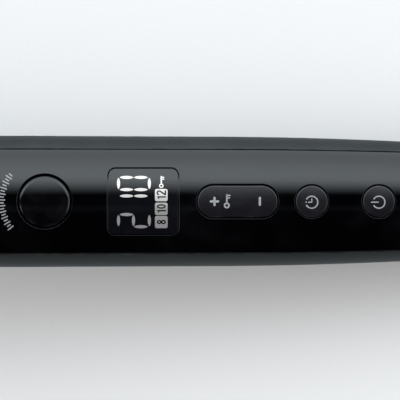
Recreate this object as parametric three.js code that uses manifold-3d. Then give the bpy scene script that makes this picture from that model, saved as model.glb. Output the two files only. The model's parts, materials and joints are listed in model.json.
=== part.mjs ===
// A hair-curling iron: hot barrel with a sprung clamp, round handle with a control cover, fold-out stand and
// a swivelling cord outlet. Millimetres. Inside the handle frame X runs from the barrel's tip towards the cord,
// Y is to the side and Z comes out of the control cover. X = 0 is the barrel's foot at the handle.
import * as THREE from "three";
import { mergeVertices } from "three/addons/utils/BufferGeometryUtils.js";
import Module from "manifold-3d";

const wasm = await Module();
wasm.setup();

// ---- driving dimensions ----------------------------------------------------------------------------------

// barrel
const BARREL_RADIUS = 12.5;
const BARREL_WALL = 1;
const BARREL_LENGTH = 150;
const BARREL_TAIL = 8; // the stretch of tube held inside the collar
const TIP_LENGTH = 20;
const TIP_FLANGE = 2;
const TIP_PLUG = 6;
const TIP_WALL = 2;
const TIP_FULLNESS = 2.6; // exponent of the tip's rounded outline
const BUSH_WALL = 3; // of the insulating ring behind the tip
const HOLDER_BORE = 6;
const HOLDER_FLANGE = 2.7;
const HEATER_FRONT = 20; // heater's distance from the tube's front end
const HEATER_REAR = 26; // and from the handle
const HEATER_HALF_WIDTH = 7;
const HEATER_HALF_THICK = 1;
const CARRIER_WALL = 2;
const LEAD_RADIUS = 0.9;
const LEAD_SPREAD = 4.3;
const SENSOR_LEAD_RADIUS = 0.6;
const SENSOR_DROP = 4;
const SENSOR_RADIUS = 1.2;
const SENSOR_LENGTH = 8;
const THERMAL_FUSE_RADIUS = 1.8;
const THERMAL_FUSE_LENGTH = 10;
const SENSOR_INSET = 3; // sensor and fuse behind the heater's rear end

// grip
const GRIP_RADIUS = 18;
const GRIP_FRONT_X = 14.6; // where the two shells begin
const GRIP_FULL_X = 40; // where the grip is fattest
const GRIP_TAPER = 0.0045;
const FRONT_CURVE_RADIUS = 300;
const REAR_CURVE_LENGTH = 90;
const REAR_CURVE_RADIUS = 1124;
const SHELL_WALL = 2;
const COVER_HALF_WIDTH = 14.4;
const COVER_FOLLOW = 0.53; // the share of the grip's taper that the cover's edge follows
const SEAM = 0.3; // between the two shells
const SEAM_FLOOR = 3; // the cover reaches down to this height inside the housing

// collar
const COLLAR_NOSE = 12; // how far the collar reaches over the barrel
const COLLAR_LIP = 1;
const COLLAR_SPIGOT = 6;
const SPIGOT_WALL = 1.6;
const TRIM_WIDTH = 1.7;

// controls, from the collar towards the cord
const START_X = 52.4;
const DISPLAY_PITCH = 26.9;
const ROCKER_PITCH = 25.7;
const TIMER_PITCH = 20.2;
const POWER_PITCH = 18.3;
const REAR_GRIP = 46.5; // from the power button to the end of the handle
const START_RADIUS = 7.2;
const SMALL_BUTTON_RADIUS = 4.3;
const ROCKER_LENGTH = 21.7;
const ROCKER_WIDTH = 8.6;
const BUTTON_SLACK = 0.3; // between a button and its hole
const ROCKER_SLACK = 0.38;
const BUTTON_PROUD = 0.15;
const START_TRAVEL = 0.8;
const SMALL_TRAVEL = 0.6;
const ROCKER_TILT = THREE.MathUtils.degToRad(2);
const FLANGE_REACH = 1;
const FLANGE_THICK = 1.2;
const DISPLAY_LENGTH = 19.5;
const DISPLAY_WIDTH = 18.4;
const DISPLAY_CORNER = 2.1;
const LENS_THICK = 1.5;
const LENS_SLACK = 0.15;
const LENS_SINK = 0.05; // the lens sits this little below the cover
const MODULE_INSET = 1; // display module inside the window's edge
const ROCKER_PIN_RISE = 0.6; // rocker's pin above the switches
const ROCKER_PIN_RADIUS = 0.8;
const ROCKER_PIN_SLACK = 0.1;
const ROCKER_STEM_X = 7;
const ROCKER_LUG_HALF = 3.4;
const ROCKER_LUG_WALL = 1.8;
const CRADLE_POST = 1.7;
const CRADLE_RISE = 1.5; // cradle's posts above the pin's middle
const CRADLE_FOOT = 1.2;
const CRADLE_FOOT_HALF = 3.2;

// inside the handle
const BOARD_Z = 3.4;
const BOARD_THICK = 1.6;
const BOARD_FRONT = 7.4; // board in front of the start button's centre
const BOARD_REAR = 16.5; // board behind the power button's centre
const SWITCH_SIZE = 6;
const SWITCH_HEIGHT = 3.5;
const PLUNGER_RADIUS = 1.7;
const PLUNGER_HEIGHT = 0.8;
const STEM_RADIUS = 1.5;
const SWITCH_SLACK = 0.15; // left between stem and plunger at full travel
const POST_RADIUS = 4.2;
const COVER_POST_RADIUS = 3.2;
const POST_MEET_Z = -2; // where the posts of the two shells meet
const SCREW_FRONT_X = 33;
const SCREW_REAR_INSET = 10; // rear screw in front of the shells' end
const SCREW_TOP = 6;
const SCREW_TIP_ROOM = 1;
const SCREW_RADIUS = 1.3;
const SCREW_HEAD_RADIUS = 2.6;
const SCREW_HEAD_HEIGHT = 2;
const SCREW_RECESS = 3.5;
const SCREW_SLACK = 0.3;
const BOARD_POST_RADIUS = 2.4;
const BOARD_SCREW_RADIUS = 0.9;
const BOARD_SCREW_HEAD = 1.2;
const BOARD_SCREW_LOW = -3.6; // height of the board screws' tips
const BOARD_SCREW_Y = 8.5;
const BOARD_SCREW_FRONT = 10; // front board screw before the rocker's middle
const BOARD_SCREW_REAR = 6.5; // rear board screw behind the power button's middle
const HOLE_SLACK = 0.2; // round a screw or rivet

// cord outlet
const END_CAP_LENGTH = 11.7;
const SWIVEL_RADIUS = 6.3;
const SWIVEL_BORE = 4.2;
const SWIVEL_SLACK = 0.3;
const SWIVEL_FLANGE_RADIUS = 9.6;
const SWIVEL_FLANGE = 2.4;
const SWIVEL_OUT = 12;
const SWIVEL_BOSS = 1.9; // how far the collar outside the cap stands out
const SWIVEL_BOSS_LENGTH = 3;
const GLAND_CHAMFER = { along: 1, across: 0.8 };
const CAP_SPIGOT = 6;
const CAP_WALL = 4.5; // thickness of the cap's rear wall, that the swivel turns in
const CAP_EDGE = 3; // how far the cap's rear edge is rounded
const CAP_CLEAR = 0.6; // between the swivel's flange and the cap
const BRUSH_HOLDER_INSET = 0.5; // brush holder inside the spigot's end
const BRUSH_HOLDER_THICK = 1.6;
const BRUSH_HOLDER_BORE = 2;
const BRUSH_SLACK = 0.2; // a brush is this much narrower than its ring on each side
const RING_THICK = 0.6;
const RINGS = [
  [4.7, 5.9],
  [7.4, 8.6],
];

// clamp
const PIVOT_X = 2;
const PIN_RADIUS = 1.5;
const PIN_SLACK = 0.15;
const PIN_HEAD = 0.9;
const BRACKET_FRONT = 3.4; // bracket before and behind the pin
const BRACKET_REAR = 8;
const BRACKET_EYE_WALL = 1.9;
const BRACKET_PLATE = 1.6;
const SPRING_WIRE = 0.45;
const SPRING_RADIUS = 2.5;
const SPRING_TURNS = 3.5;
const SPRING_LEG = 8;
const SPRING_GAP = 0.15; // between turns
const SPRING_CLEAR = 1.1; // between the coils and the collar
const SADDLE_OFFSET = 4.2; // from the pin to the bracket's cross plate
const CLAMP_GAP = 0.3;
const CLAMP_SHEET = 0.9;
const CLAMP_END = 5; // barrel left bare in front of the spoon
const CLAMP_REAR = 15; // where the spoon's sheet ends in front of the handle
const CLAMP_HALF_ANGLE = THREE.MathUtils.degToRad(50);
const NECK_SHEET = 1.6;
const NECK_HALF_WIDTH = 6.5;
const NECK_LAP = 9; // how far the neck lies on the spoon's sheet
const KNUCKLE_HALF = 1.9;
const KNUCKLE_WALL = 1.2;
const EAR_THICK = 2;
const EAR_CLEAR = 0.6; // between the neck and the bracket's ears
const LEVER_RISE = THREE.MathUtils.degToRad(10);
const LEVER_FRONT = 6;
const LEVER_REACH = 32;
const LEVER_THICK = 3;
const LEVER_HALF_WIDTH = 8.5;
const LEVER_DISH = 45; // radius of the thumb's hollow
const DISH_DEPTH = 1;
const DISH_INSET = 11; // hollow's middle before the lever's tip
const TONGUE_SHORT = 6; // tongue's end before the lever's tip
const RIVET_RADIUS = 1.2;
const RIVET_INSET = 5;
const RIVET_PITCH = 11;
const RIVET_HEAD = { over: 0.9, height: 0.8 };
const RIVET_RISE = 1.4; // rivet's end above the lever's underside

// stand
const STAND_X = 0;
const STAND_DROP = 2.6; // the pin's depth below the collar
const STAND_PIN_RADIUS = 1.25;
const STAND_HEIGHT = 30; // the feet's depth below the barrel's axis
const FOOT_X = -24;
const STAND_ARM_THICK = 2.4;
const STAND_ARM_WIDTH = 5;
const STAND_HALF_WIDTH = 17;
const STAND_BAR = 2.4;
const FOOT_RADIUS = 3.4;
const FOOT_THICK = 1.6;
const LUG_INNER = 5.2;
const LUG_THICK = 2.8;
const LUG_WALL = 1.8; // round the pin's hole
const LUG_ROOT = 2; // how far the lugs reach into the collar
const STAND_EYE_WALL = 1.75;
const STAND_PIN_HEAD = { over: 0.9, height: 0.8 };

// general
const GAP = 0.3; // left between pieces that sit against each other
const OVERLAP = 0.5; // how deep the shapes of one piece run into each other
const THROUGH = 20; // reach of a cutter that passes right through
const HAIR = 0.01; // keeps a round end's straight side from having no length
const ROUND = 36;
const SPOON_ROUND = 48;
const BUTTON_ROUND = 24;
const INNER_ROUND = 20; // round pieces hidden inside
const SMALL_ROUND = 14;
const PIN_ROUND = 10;
const STATION = 16; // spacing of the grip's sections
const CONE_STATION = 8; // and of the collar's
const CAP_STATION = 4; // and of the end cap's

// ---- derived places --------------------------------------------------------------------------------------

const DISPLAY_X = START_X + DISPLAY_PITCH;
const ROCKER_X = DISPLAY_X + ROCKER_PITCH;
const TIMER_X = ROCKER_X + TIMER_PITCH;
const POWER_X = TIMER_X + POWER_PITCH;
const HANDLE_END = POWER_X + REAR_GRIP;
const SHELL_END = HANDLE_END - END_CAP_LENGTH - GAP;
const REAR_CURVE_START = HANDLE_END - REAR_CURVE_LENGTH;
const COLLAR_END = GRIP_FRONT_X - TRIM_WIDTH - 2 * GAP;
const BOARD_TOP = BOARD_Z + BOARD_THICK;
const SWITCH_TOP = BOARD_TOP + GAP + SWITCH_HEIGHT + PLUNGER_HEIGHT;

/** Outer radius of the grip at x: a slight taper, a shoulder at the front and a long curve at the rear. */
function gripRadius(x) {
  const front = Math.max(0, GRIP_FULL_X - x);
  const rear = Math.max(0, x - REAR_CURVE_START);
  const curves = front ** 2 / (2 * FRONT_CURVE_RADIUS) + rear ** 2 / (2 * REAR_CURVE_RADIUS);
  return GRIP_RADIUS - GRIP_TAPER * (x - GRIP_FULL_X) - curves;
}

/** Half the cover's width at x, between its two seams. */
function coverHalfWidth(x) {
  return COVER_HALF_WIDTH - COVER_FOLLOW * (GRIP_RADIUS - gripRadius(x));
}

/** Outer radius of the collar at x: a cone from the barrel up to the grip. */
function collarRadius(x) {
  const share = (x + COLLAR_NOSE) / (COLLAR_END + COLLAR_NOSE);
  return THREE.MathUtils.lerp(BARREL_RADIUS + COLLAR_LIP, gripRadius(GRIP_FRONT_X), share);
}

const PIVOT_Z = collarRadius(PIVOT_X) + SPRING_RADIUS + SPRING_WIRE + SPRING_CLEAR;
const TONGUE_Z = SPRING_RADIUS + SPRING_WIRE + GAP + NECK_SHEET / 2; // tongue's middle above the pivot
const STAND_Z = -(collarRadius(STAND_X) + STAND_DROP);
const SPIGOT_RADIUS = gripRadius(GRIP_FRONT_X) - SHELL_WALL - GAP;
const EAR_INNER = NECK_HALF_WIDTH + EAR_CLEAR;

/** Slope of the table against the barrel's axis when feet and grip both touch it. */
function tableSlope() {
  let slope = Infinity;
  for (const x of stations(REAR_CURVE_START, HANDLE_END - CAP_EDGE, 1)) {
    slope = Math.min(slope, (STAND_HEIGHT - gripRadius(x)) / (x - FOOT_X));
  }
  return slope;
}

const TILT = Math.atan(tableSlope());

// ---- geometry helpers ------------------------------------------------------------------------------------

/** Evenly spaced values from start to end, at most step apart. */
function stations(start, end, step) {
  const count = Math.max(1, Math.ceil((end - start) / step));
  return Array.from({ length: count + 1 }, (_, i) => start + ((end - start) * i) / count);
}

/** A three.js geometry as a manifold solid. */
function toSolid(geometry) {
  const bare = new THREE.BufferGeometry();
  bare.setAttribute("position", geometry.getAttribute("position").clone());
  if (geometry.index) bare.setIndex(geometry.index.clone());
  const merged = mergeVertices(bare);
  const index = merged.index.array;
  const triVerts = [];
  for (let i = 0; i < index.length; i += 3) {
    const [a, b, c] = [index[i], index[i + 1], index[i + 2]];
    if (a !== b && b !== c && c !== a) triVerts.push(a, b, c);
  }
  const vertProperties = Float32Array.from(merged.getAttribute("position").array);
  const mesh = new wasm.Mesh({ numProp: 3, vertProperties, triVerts: Uint32Array.from(triVerts) });
  return new wasm.Manifold(mesh);
}

/** A manifold solid as a three.js geometry. */
function toGeometry(solid) {
  const mesh = solid.getMesh();
  const geometry = new THREE.BufferGeometry();
  geometry.setAttribute("position", new THREE.BufferAttribute(Float32Array.from(mesh.vertProperties), 3));
  geometry.setIndex(new THREE.BufferAttribute(Uint32Array.from(mesh.triVerts), 1));
  geometry.computeVertexNormals();
  return geometry;
}

/** A profile of [x, radius] points turned about the X axis. */
function turned(profile, segments = ROUND) {
  const points = profile.map(([x, radius]) => new THREE.Vector2(radius, x));
  points.push(points[0].clone());
  if (THREE.ShapeUtils.area(points) < 0) points.reverse();
  const geometry = new THREE.LatheGeometry(points, segments);
  return toSolid(geometry.rotateZ(-Math.PI / 2));
}

/** A tube about the X axis. */
function ring(x0, x1, inner, outer, segments = ROUND) {
  return turned([[x0, inner], [x0, outer], [x1, outer], [x1, inner]], segments);
}

/** An outline of [x, y] points raised along Z. */
function raised(points, z0, z1) {
  const shape = new THREE.Shape(points.map(([x, y]) => new THREE.Vector2(x, y)));
  const geometry = new THREE.ExtrudeGeometry(shape, { depth: z1 - z0, bevelEnabled: false });
  return toSolid(geometry.translate(0, 0, z0));
}

/** A side outline of [x, z] points, given its thickness along Y. */
function sideways(points, y0, y1) {
  const shape = new THREE.Shape(points.map(([x, z]) => new THREE.Vector2(x, z)));
  const geometry = new THREE.ExtrudeGeometry(shape, { depth: y1 - y0, bevelEnabled: false });
  return toSolid(geometry.rotateX(Math.PI / 2).translate(0, y1, 0));
}

/** A box between two corners. */
function block(x0, x1, y0, y1, z0, z1) {
  const geometry = new THREE.BoxGeometry(x1 - x0, y1 - y0, z1 - z0);
  return toSolid(geometry.translate((x0 + x1) / 2, (y0 + y1) / 2, (z0 + z1) / 2));
}

/** An upright round rod at (x, y). */
function upright(radius, z0, z1, x = 0, y = 0, segments = SMALL_ROUND) {
  const geometry = new THREE.CylinderGeometry(radius, radius, z1 - z0, segments);
  return toSolid(geometry.rotateX(Math.PI / 2).translate(x, y, (z0 + z1) / 2));
}

/** A round rod along Y through (x, z). */
function crosswise(radius, y0, y1, x = 0, z = 0, segments = SMALL_ROUND) {
  const geometry = new THREE.CylinderGeometry(radius, radius, y1 - y0, segments);
  return toSolid(geometry.translate(x, (y0 + y1) / 2, z));
}

/** A round rod along X through (y, z). */
function lengthwise(radius, x0, x1, y = 0, z = 0, segments = PIN_ROUND) {
  const geometry = new THREE.CylinderGeometry(radius, radius, x1 - x0, segments);
  return toSolid(geometry.rotateZ(Math.PI / 2).translate((x0 + x1) / 2, y, z));
}

/** A wire of round section along a smooth curve through the points. */
function wire(points, radius, steps, sides = 6) {
  const path = new THREE.CatmullRomCurve3(points.map((p) => new THREE.Vector3(...p)), false, "centripetal");
  const section = new THREE.Shape();
  for (let i = 0; i < sides; i += 1) {
    const angle = (2 * Math.PI * i) / sides;
    const [u, v] = [radius * Math.cos(angle), radius * Math.sin(angle)];
    if (i === 0) section.moveTo(u, v);
    else section.lineTo(u, v);
  }
  return toSolid(new THREE.ExtrudeGeometry(section, { steps, extrudePath: path, bevelEnabled: false }));
}

/** Outline of a rounded rectangle centred on (cx, cy). */
function roundedOutline(cx, cy, length, width, corner, steps = 6) {
  const points = [];
  const corners = [[1, 1], [-1, 1], [-1, -1], [1, -1]];
  corners.forEach(([sx, sy], quarter) => {
    const x = cx + sx * (length / 2 - corner);
    const y = cy + sy * (width / 2 - corner);
    for (let i = 0; i <= steps; i += 1) {
      const angle = (Math.PI / 2) * (quarter + i / steps);
      points.push([x + corner * Math.cos(angle), y + corner * Math.sin(angle)]);
    }
  });
  return points;
}

/** The grip's outer form between two sections, grown by offset. */
function gripForm(x0, x1, offset) {
  const outer = stations(x0, x1, STATION).map((x) => [x, gripRadius(x) + offset]);
  return turned([[x0, 0], ...outer, [x1, 0]]);
}

/** The grip's wall between two sections. */
function gripWall(x0, x1, outside, inside) {
  const outer = stations(x0, x1, STATION).map((x) => [x, gripRadius(x) + outside]);
  const inner = stations(x0, x1, STATION).map((x) => [x, gripRadius(x) + inside]).reverse();
  return turned([...outer, ...inner]);
}

/** The cover's outline seen from above, grown by grow, as a tall prism. */
function coverPrism(grow) {
  const margin = 5;
  const xs = stations(GRIP_FRONT_X, SHELL_END, STATION);
  xs.unshift(GRIP_FRONT_X - margin);
  xs.push(SHELL_END + margin);
  const left = xs.map((x) => [x, coverHalfWidth(x) + grow]);
  const right = xs.map((x) => [x, -coverHalfWidth(x) - grow]).reverse();
  return raised([...left, ...right], SEAM_FLOOR - grow, 2 * GRIP_RADIUS);
}

// ---- the assembly ----------------------------------------------------------------------------------------

const handleFrame = new THREE.Group();

/** Adds one piece to the handle frame; its solid may be given about its own pivot. */
function add(name, solid, finish, place = [0, 0, 0]) {
  const mesh = new THREE.Mesh(toGeometry(solid), new THREE.MeshStandardMaterial(finish));
  mesh.name = name;
  mesh.position.set(...place);
  handleFrame.add(mesh);
  return mesh;
}

const SATIN_BLACK = { color: 0x33383a, roughness: 0.5, metalness: 0.1 };
const GLOSS_BLACK = { color: 0x05060a, roughness: 0.08, metalness: 0 };
const BUTTON_BLACK = { color: 0x1b1a21, roughness: 0.3, metalness: 0 };
const LENS_BLACK = { color: 0x0b0c12, roughness: 0.06, metalness: 0 };
const HOT_COATING = { color: 0x2b2a2c, roughness: 0.35, metalness: 0.3 };
const BRIGHT_METAL = { color: 0xb9bcc0, roughness: 0.3, metalness: 1 };
const ALUMINIUM = { color: 0xa8abae, roughness: 0.45, metalness: 1 };
const BRASS = { color: 0xb08d4a, roughness: 0.35, metalness: 1 };
const DARK_RUBBER = { color: 0x151517, roughness: 0.85, metalness: 0 };
const BOARD_GREEN = { color: 0x1f4a34, roughness: 0.6, metalness: 0 };
const INNER_PLASTIC = { color: 0x2a2a2c, roughness: 0.7, metalness: 0 };
const PALE_PLASTIC = { color: 0xc9c2b2, roughness: 0.7, metalness: 0 };
const CERAMIC = { color: 0xe4e0d6, roughness: 0.5, metalness: 0 };
const RED_LEAD = { color: 0x8c2f28, roughness: 0.7, metalness: 0 };
const WHITE_LEAD = { color: 0xd8d6cf, roughness: 0.7, metalness: 0 };

// ---- barrel ----------------------------------------------------------------------------------------------

const TUBE_INNER = BARREL_RADIUS - BARREL_WALL - GAP; // radius of what fits inside the tube
const SENSOR_X = SENSOR_INSET - HEATER_REAR;
const TIP_DEPTH = TIP_LENGTH - TIP_WALL;
const PLUG_SHARE = TIP_PLUG / TIP_DEPTH; // how far the bush reaches into the tip's hollow

function barrelTube() {
  return ring(-BARREL_LENGTH, BARREL_TAIL, BARREL_RADIUS - BARREL_WALL, BARREL_RADIUS);
}

/** Insulating ring between the hot tube and the cool tip. */
function tipBush() {
  const flangeFront = -BARREL_LENGTH - GAP - TIP_FLANGE;
  const bore = TUBE_INNER - BUSH_WALL;
  const spigot = tipInnerRadius(PLUG_SHARE) - GAP;
  return turned([
    [flangeFront - TIP_PLUG, bore],
    [flangeFront - TIP_PLUG, spigot],
    [flangeFront, spigot],
    [flangeFront, BARREL_RADIUS],
    [-BARREL_LENGTH - GAP, BARREL_RADIUS],
    [-BARREL_LENGTH - GAP, TUBE_INNER],
    [-BARREL_LENGTH + TIP_PLUG, TUBE_INNER],
    [-BARREL_LENGTH + TIP_PLUG, bore],
  ]);
}

/** Radius of the rounded cool tip, from its open end (share 0) to its nose (share 1). */
function tipRadius(share) {
  return BARREL_RADIUS * Math.sqrt(1 - share ** TIP_FULLNESS);
}

/** Radius of the hollow inside the cool tip. */
function tipInnerRadius(share) {
  return tipRadius(share) * (1 - TIP_WALL / BARREL_RADIUS);
}

function tipCap() {
  const back = -BARREL_LENGTH - 2 * GAP - TIP_FLANGE;
  const shares = [0, PLUG_SHARE, 0.6, 0.78, 0.92, 1];
  const outer = shares.map((s) => [back - TIP_LENGTH * s, tipRadius(s)]);
  const inner = shares.map((s) => [back - TIP_DEPTH * s, tipInnerRadius(s)]);
  return turned([...outer, ...inner.reverse()]);
}

/** Insulating bush that holds the tube in the collar; its bore lets the leads through. */
function barrelHolder() {
  return turned([
    [-BARREL_TAIL, HOLDER_BORE],
    [-BARREL_TAIL, TUBE_INNER],
    [BARREL_TAIL + GAP, TUBE_INNER],
    [BARREL_TAIL + GAP, BARREL_RADIUS],
    [BARREL_TAIL + GAP + HOLDER_FLANGE, BARREL_RADIUS],
    [BARREL_TAIL + GAP + HOLDER_FLANGE, HOLDER_BORE],
  ], INNER_ROUND);
}

/** Half-round aluminium carrier that presses the heater against the tube; side is 1 above, -1 below. */
function heaterCarrier(side) {
  const x0 = -BARREL_LENGTH + HEATER_FRONT;
  const x1 = -HEATER_REAR;
  const flat = HEATER_HALF_THICK + GAP;
  const wall = ring(x0, x1, TUBE_INNER - CARRIER_WALL, TUBE_INNER, INNER_ROUND);
  const disc = turned([[x0, 0], [x0, TUBE_INNER], [x1, TUBE_INNER], [x1, 0]], INNER_ROUND);
  const reach = 2 * BARREL_RADIUS;
  const [low, high] = side > 0 ? [flat, reach] : [-reach, -flat];
  const [plateLow, plateHigh] = side > 0 ? [flat, flat + CARRIER_WALL] : [-flat - CARRIER_WALL, -flat];
  const half = wall.intersect(block(x0 - OVERLAP, x1 + OVERLAP, -reach, reach, low, high));
  const plate = disc.intersect(block(x0 - OVERLAP, x1 + OVERLAP, -reach, reach, plateLow, plateHigh));
  return half.add(plate);
}

function ceramicHeater() {
  const [w, t] = [HEATER_HALF_WIDTH, HEATER_HALF_THICK];
  return block(-BARREL_LENGTH + HEATER_FRONT, -HEATER_REAR, -w, w, -t, t);
}

function temperatureSensor() {
  return lengthwise(SENSOR_RADIUS, SENSOR_X, SENSOR_X + SENSOR_LENGTH, 0, -SENSOR_DROP);
}

function thermalFuse() {
  return lengthwise(THERMAL_FUSE_RADIUS, SENSOR_X, SENSOR_X + THERMAL_FUSE_LENGTH, 0, LEAD_SPREAD);
}

/** Silicone lead from the heater, through the bush, up to the circuit board. */
function heaterLead(side) {
  const start = -HEATER_REAR + GAP;
  const boardX = START_X - BOARD_FRONT + 2;
  const seat = BOARD_TOP + GAP + LEAD_RADIUS;
  const wide = LEAD_SPREAD + 3;
  return wire([
    [start, side * LEAD_SPREAD, 0],
    [-BARREL_TAIL, side * LEAD_SPREAD, 0],
    [BARREL_TAIL + 6, side * LEAD_SPREAD, 0],
    [SCREW_FRONT_X - 2, side * wide, 1],
    [boardX - 6, side * wide, seat],
    [boardX, side * wide, seat],
  ], LEAD_RADIUS, 14, 5);
}

/** Thin lead of the temperature sensor, under the board. */
function sensorLead() {
  const end = START_X;
  const low = UNDER_BOARD - SENSOR_LEAD_RADIUS - 1;
  return wire([
    [-HEATER_REAR + 12, 0, -SENSOR_DROP],
    [BARREL_TAIL, 0, -SENSOR_DROP],
    [BARREL_TAIL + 8, 1.5, -SENSOR_DROP],
    [SCREW_FRONT_X - 2, POST_RADIUS + 1.6, -SENSOR_DROP],
    [SCREW_FRONT_X + 8, POST_RADIUS, -1],
    [end, POST_RADIUS, low],
  ], SENSOR_LEAD_RADIUS, 14, 5);
}

// ---- collar ----------------------------------------------------------------------------------------------

function frontCollar() {
  const bore = BARREL_RADIUS + GAP;
  const spigotEnd = GRIP_FRONT_X + COLLAR_SPIGOT;
  const cone = stations(-COLLAR_NOSE, COLLAR_END, CONE_STATION).map((x) => [x, collarRadius(x)]);
  const body = turned([
    [-COLLAR_NOSE, bore],
    ...cone,
    [COLLAR_END, SPIGOT_RADIUS],
    [spigotEnd, SPIGOT_RADIUS],
    [spigotEnd, SPIGOT_RADIUS - SPIGOT_WALL],
    [COLLAR_END, bore],
  ]);
  const hollow = bore + OVERLAP;
  const inside = turned([[-COLLAR_NOSE, 0], [-COLLAR_NOSE, hollow], [COLLAR_END, hollow], [COLLAR_END, 0]]);
  let collar = body;
  for (const side of [1, -1]) {
    collar = collar.add(standLug(side).subtract(inside));
  }
  return collar.subtract(crosswise(STAND_PIN_RADIUS + PIN_SLACK, -THROUGH, THROUGH, STAND_X, STAND_Z));
}

/** One of the collar's two ears for the stand's pin. */
function standLug(side) {
  const eye = STAND_PIN_RADIUS + LUG_WALL;
  const [y0, y1] = side > 0 ? [LUG_INNER, LUG_INNER + LUG_THICK] : [-LUG_INNER - LUG_THICK, -LUG_INNER];
  const round = crosswise(eye, y0, y1, STAND_X, STAND_Z);
  return round.add(block(STAND_X - eye, STAND_X + eye, y0, y1, STAND_Z, LUG_ROOT - BARREL_RADIUS));
}

function collarTrimRing() {
  const outer = gripRadius(GRIP_FRONT_X);
  return ring(COLLAR_END + GAP, COLLAR_END + GAP + TRIM_WIDTH, SPIGOT_RADIUS + GAP, outer);
}

// ---- grip shells -----------------------------------------------------------------------------------------

const SCREW_REAR_X = SHELL_END - SCREW_REAR_INSET;
const SCREW_XS = [SCREW_FRONT_X, SCREW_REAR_X];
const BOARD_SCREWS = [
  [ROCKER_X - BOARD_SCREW_FRONT, BOARD_SCREW_Y],
  [POWER_X + BOARD_SCREW_REAR, -BOARD_SCREW_Y],
];

function lowerHousing() {
  let shell = gripWall(GRIP_FRONT_X, SHELL_END, 0, -SHELL_WALL).subtract(coverPrism(SEAM / 2));
  const core = gripForm(GRIP_FRONT_X, SHELL_END, -SHELL_WALL / 2);
  for (const x of SCREW_XS) {
    shell = shell.add(upright(POST_RADIUS, -GRIP_RADIUS, POST_MEET_Z, x).intersect(core));
  }
  for (const [x, y] of BOARD_SCREWS) {
    const post = upright(BOARD_POST_RADIUS, -GRIP_RADIUS, BOARD_Z - GAP, x, y);
    shell = shell.add(post.intersect(core));
  }
  for (const x of SCREW_XS) {
    const recess = -gripRadius(x) + SCREW_RECESS;
    shell = shell.subtract(upright(SCREW_HEAD_RADIUS + SCREW_SLACK, -2 * GRIP_RADIUS, recess, x));
    shell = shell.subtract(upright(SCREW_RADIUS + SCREW_SLACK, recess - OVERLAP, GRIP_RADIUS, x));
  }
  for (const [x, y] of BOARD_SCREWS) {
    const low = BOARD_SCREW_LOW - BOARD_SCREW_RADIUS;
    shell = shell.subtract(upright(BOARD_SCREW_RADIUS + HOLE_SLACK, low, GRIP_RADIUS, x, y, PIN_ROUND));
  }
  return shell;
}

const ROUND_BUTTONS = [
  [START_X, START_RADIUS],
  [TIMER_X, SMALL_BUTTON_RADIUS],
  [POWER_X, SMALL_BUTTON_RADIUS],
];

function controlCover() {
  let cover = gripWall(GRIP_FRONT_X, SHELL_END, 0, -SHELL_WALL).intersect(coverPrism(-SEAM / 2));
  const core = gripForm(GRIP_FRONT_X, SHELL_END, -SHELL_WALL / 2);
  for (const x of SCREW_XS) {
    const post = upright(COVER_POST_RADIUS, POST_MEET_Z + GAP, GRIP_RADIUS, x).intersect(core);
    const holeTop = SCREW_TOP + SCREW_TIP_ROOM;
    cover = cover.add(post).subtract(upright(SCREW_RADIUS + HOLE_SLACK, -GRIP_RADIUS, holeTop, x));
  }
  const high = 2 * GRIP_RADIUS;
  for (const [x, radius] of ROUND_BUTTONS) {
    cover = cover.subtract(upright(radius + BUTTON_SLACK, 0, high, x, 0, BUTTON_ROUND));
  }
  const rockerHole = stadium(ROCKER_X, ROCKER_LENGTH + 2 * ROCKER_SLACK, ROCKER_WIDTH + 2 * ROCKER_SLACK);
  cover = cover.subtract(raised(rockerHole, 0, high));
  const window = roundedOutline(DISPLAY_X, 0, DISPLAY_LENGTH, DISPLAY_WIDTH, DISPLAY_CORNER, 4);
  return cover.subtract(raised(window, 0, high));
}

/** Outline of a round-ended slot centred on x. */
function stadium(x, length, width) {
  return roundedOutline(x, 0, length, width, width / 2 - HAIR, 5);
}

/** Screw that draws the lower housing to the cover. */
function housingScrew(x) {
  const seat = -gripRadius(x) + SCREW_RECESS - GAP;
  const head = upright(SCREW_HEAD_RADIUS, seat - SCREW_HEAD_HEIGHT, seat, x);
  return head.add(upright(SCREW_RADIUS, seat - OVERLAP, SCREW_TOP, x, 0, PIN_ROUND));
}

function displayLens() {
  const outline = roundedOutline(
    DISPLAY_X, 0,
    DISPLAY_LENGTH - 2 * LENS_SLACK, DISPLAY_WIDTH - 2 * LENS_SLACK,
    DISPLAY_CORNER - LENS_SLACK, 4,
  );
  const wall = gripWall(GRIP_FRONT_X, SHELL_END, -LENS_SINK, -LENS_SINK - LENS_THICK);
  return wall.intersect(raised(outline, 0, 2 * GRIP_RADIUS));
}

// ---- circuit board and what it carries -------------------------------------------------------------------

const BOARD_START = START_X - BOARD_FRONT;
const BOARD_END = POWER_X + BOARD_REAR;
const UNDER_BOARD = BOARD_Z - GAP;
const ON_BOARD = BOARD_TOP + GAP;

/** Half the board's width, as wide as fits between the shells. */
function boardHalfWidth() {
  const radii = stations(BOARD_START, BOARD_END, 5).map((x) => gripRadius(x) - SHELL_WALL);
  return Math.sqrt(Math.min(...radii) ** 2 - BOARD_TOP ** 2) - 2 * GAP;
}

function mainCircuitBoard() {
  const w = boardHalfWidth();
  let board = block(BOARD_START, BOARD_END, -w, w, BOARD_Z, BOARD_TOP);
  for (const [x, y] of BOARD_SCREWS) {
    board = board.subtract(upright(BOARD_SCREW_RADIUS + HOLE_SLACK, 0, GRIP_RADIUS, x, y, PIN_ROUND));
  }
  return board;
}

function boardScrew([x, y]) {
  const head = upright(BOARD_SCREW_RADIUS * 2, ON_BOARD, ON_BOARD + BOARD_SCREW_HEAD, x, y, PIN_ROUND);
  return head.add(upright(BOARD_SCREW_RADIUS, BOARD_SCREW_LOW, ON_BOARD + OVERLAP, x, y, PIN_ROUND));
}

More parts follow.
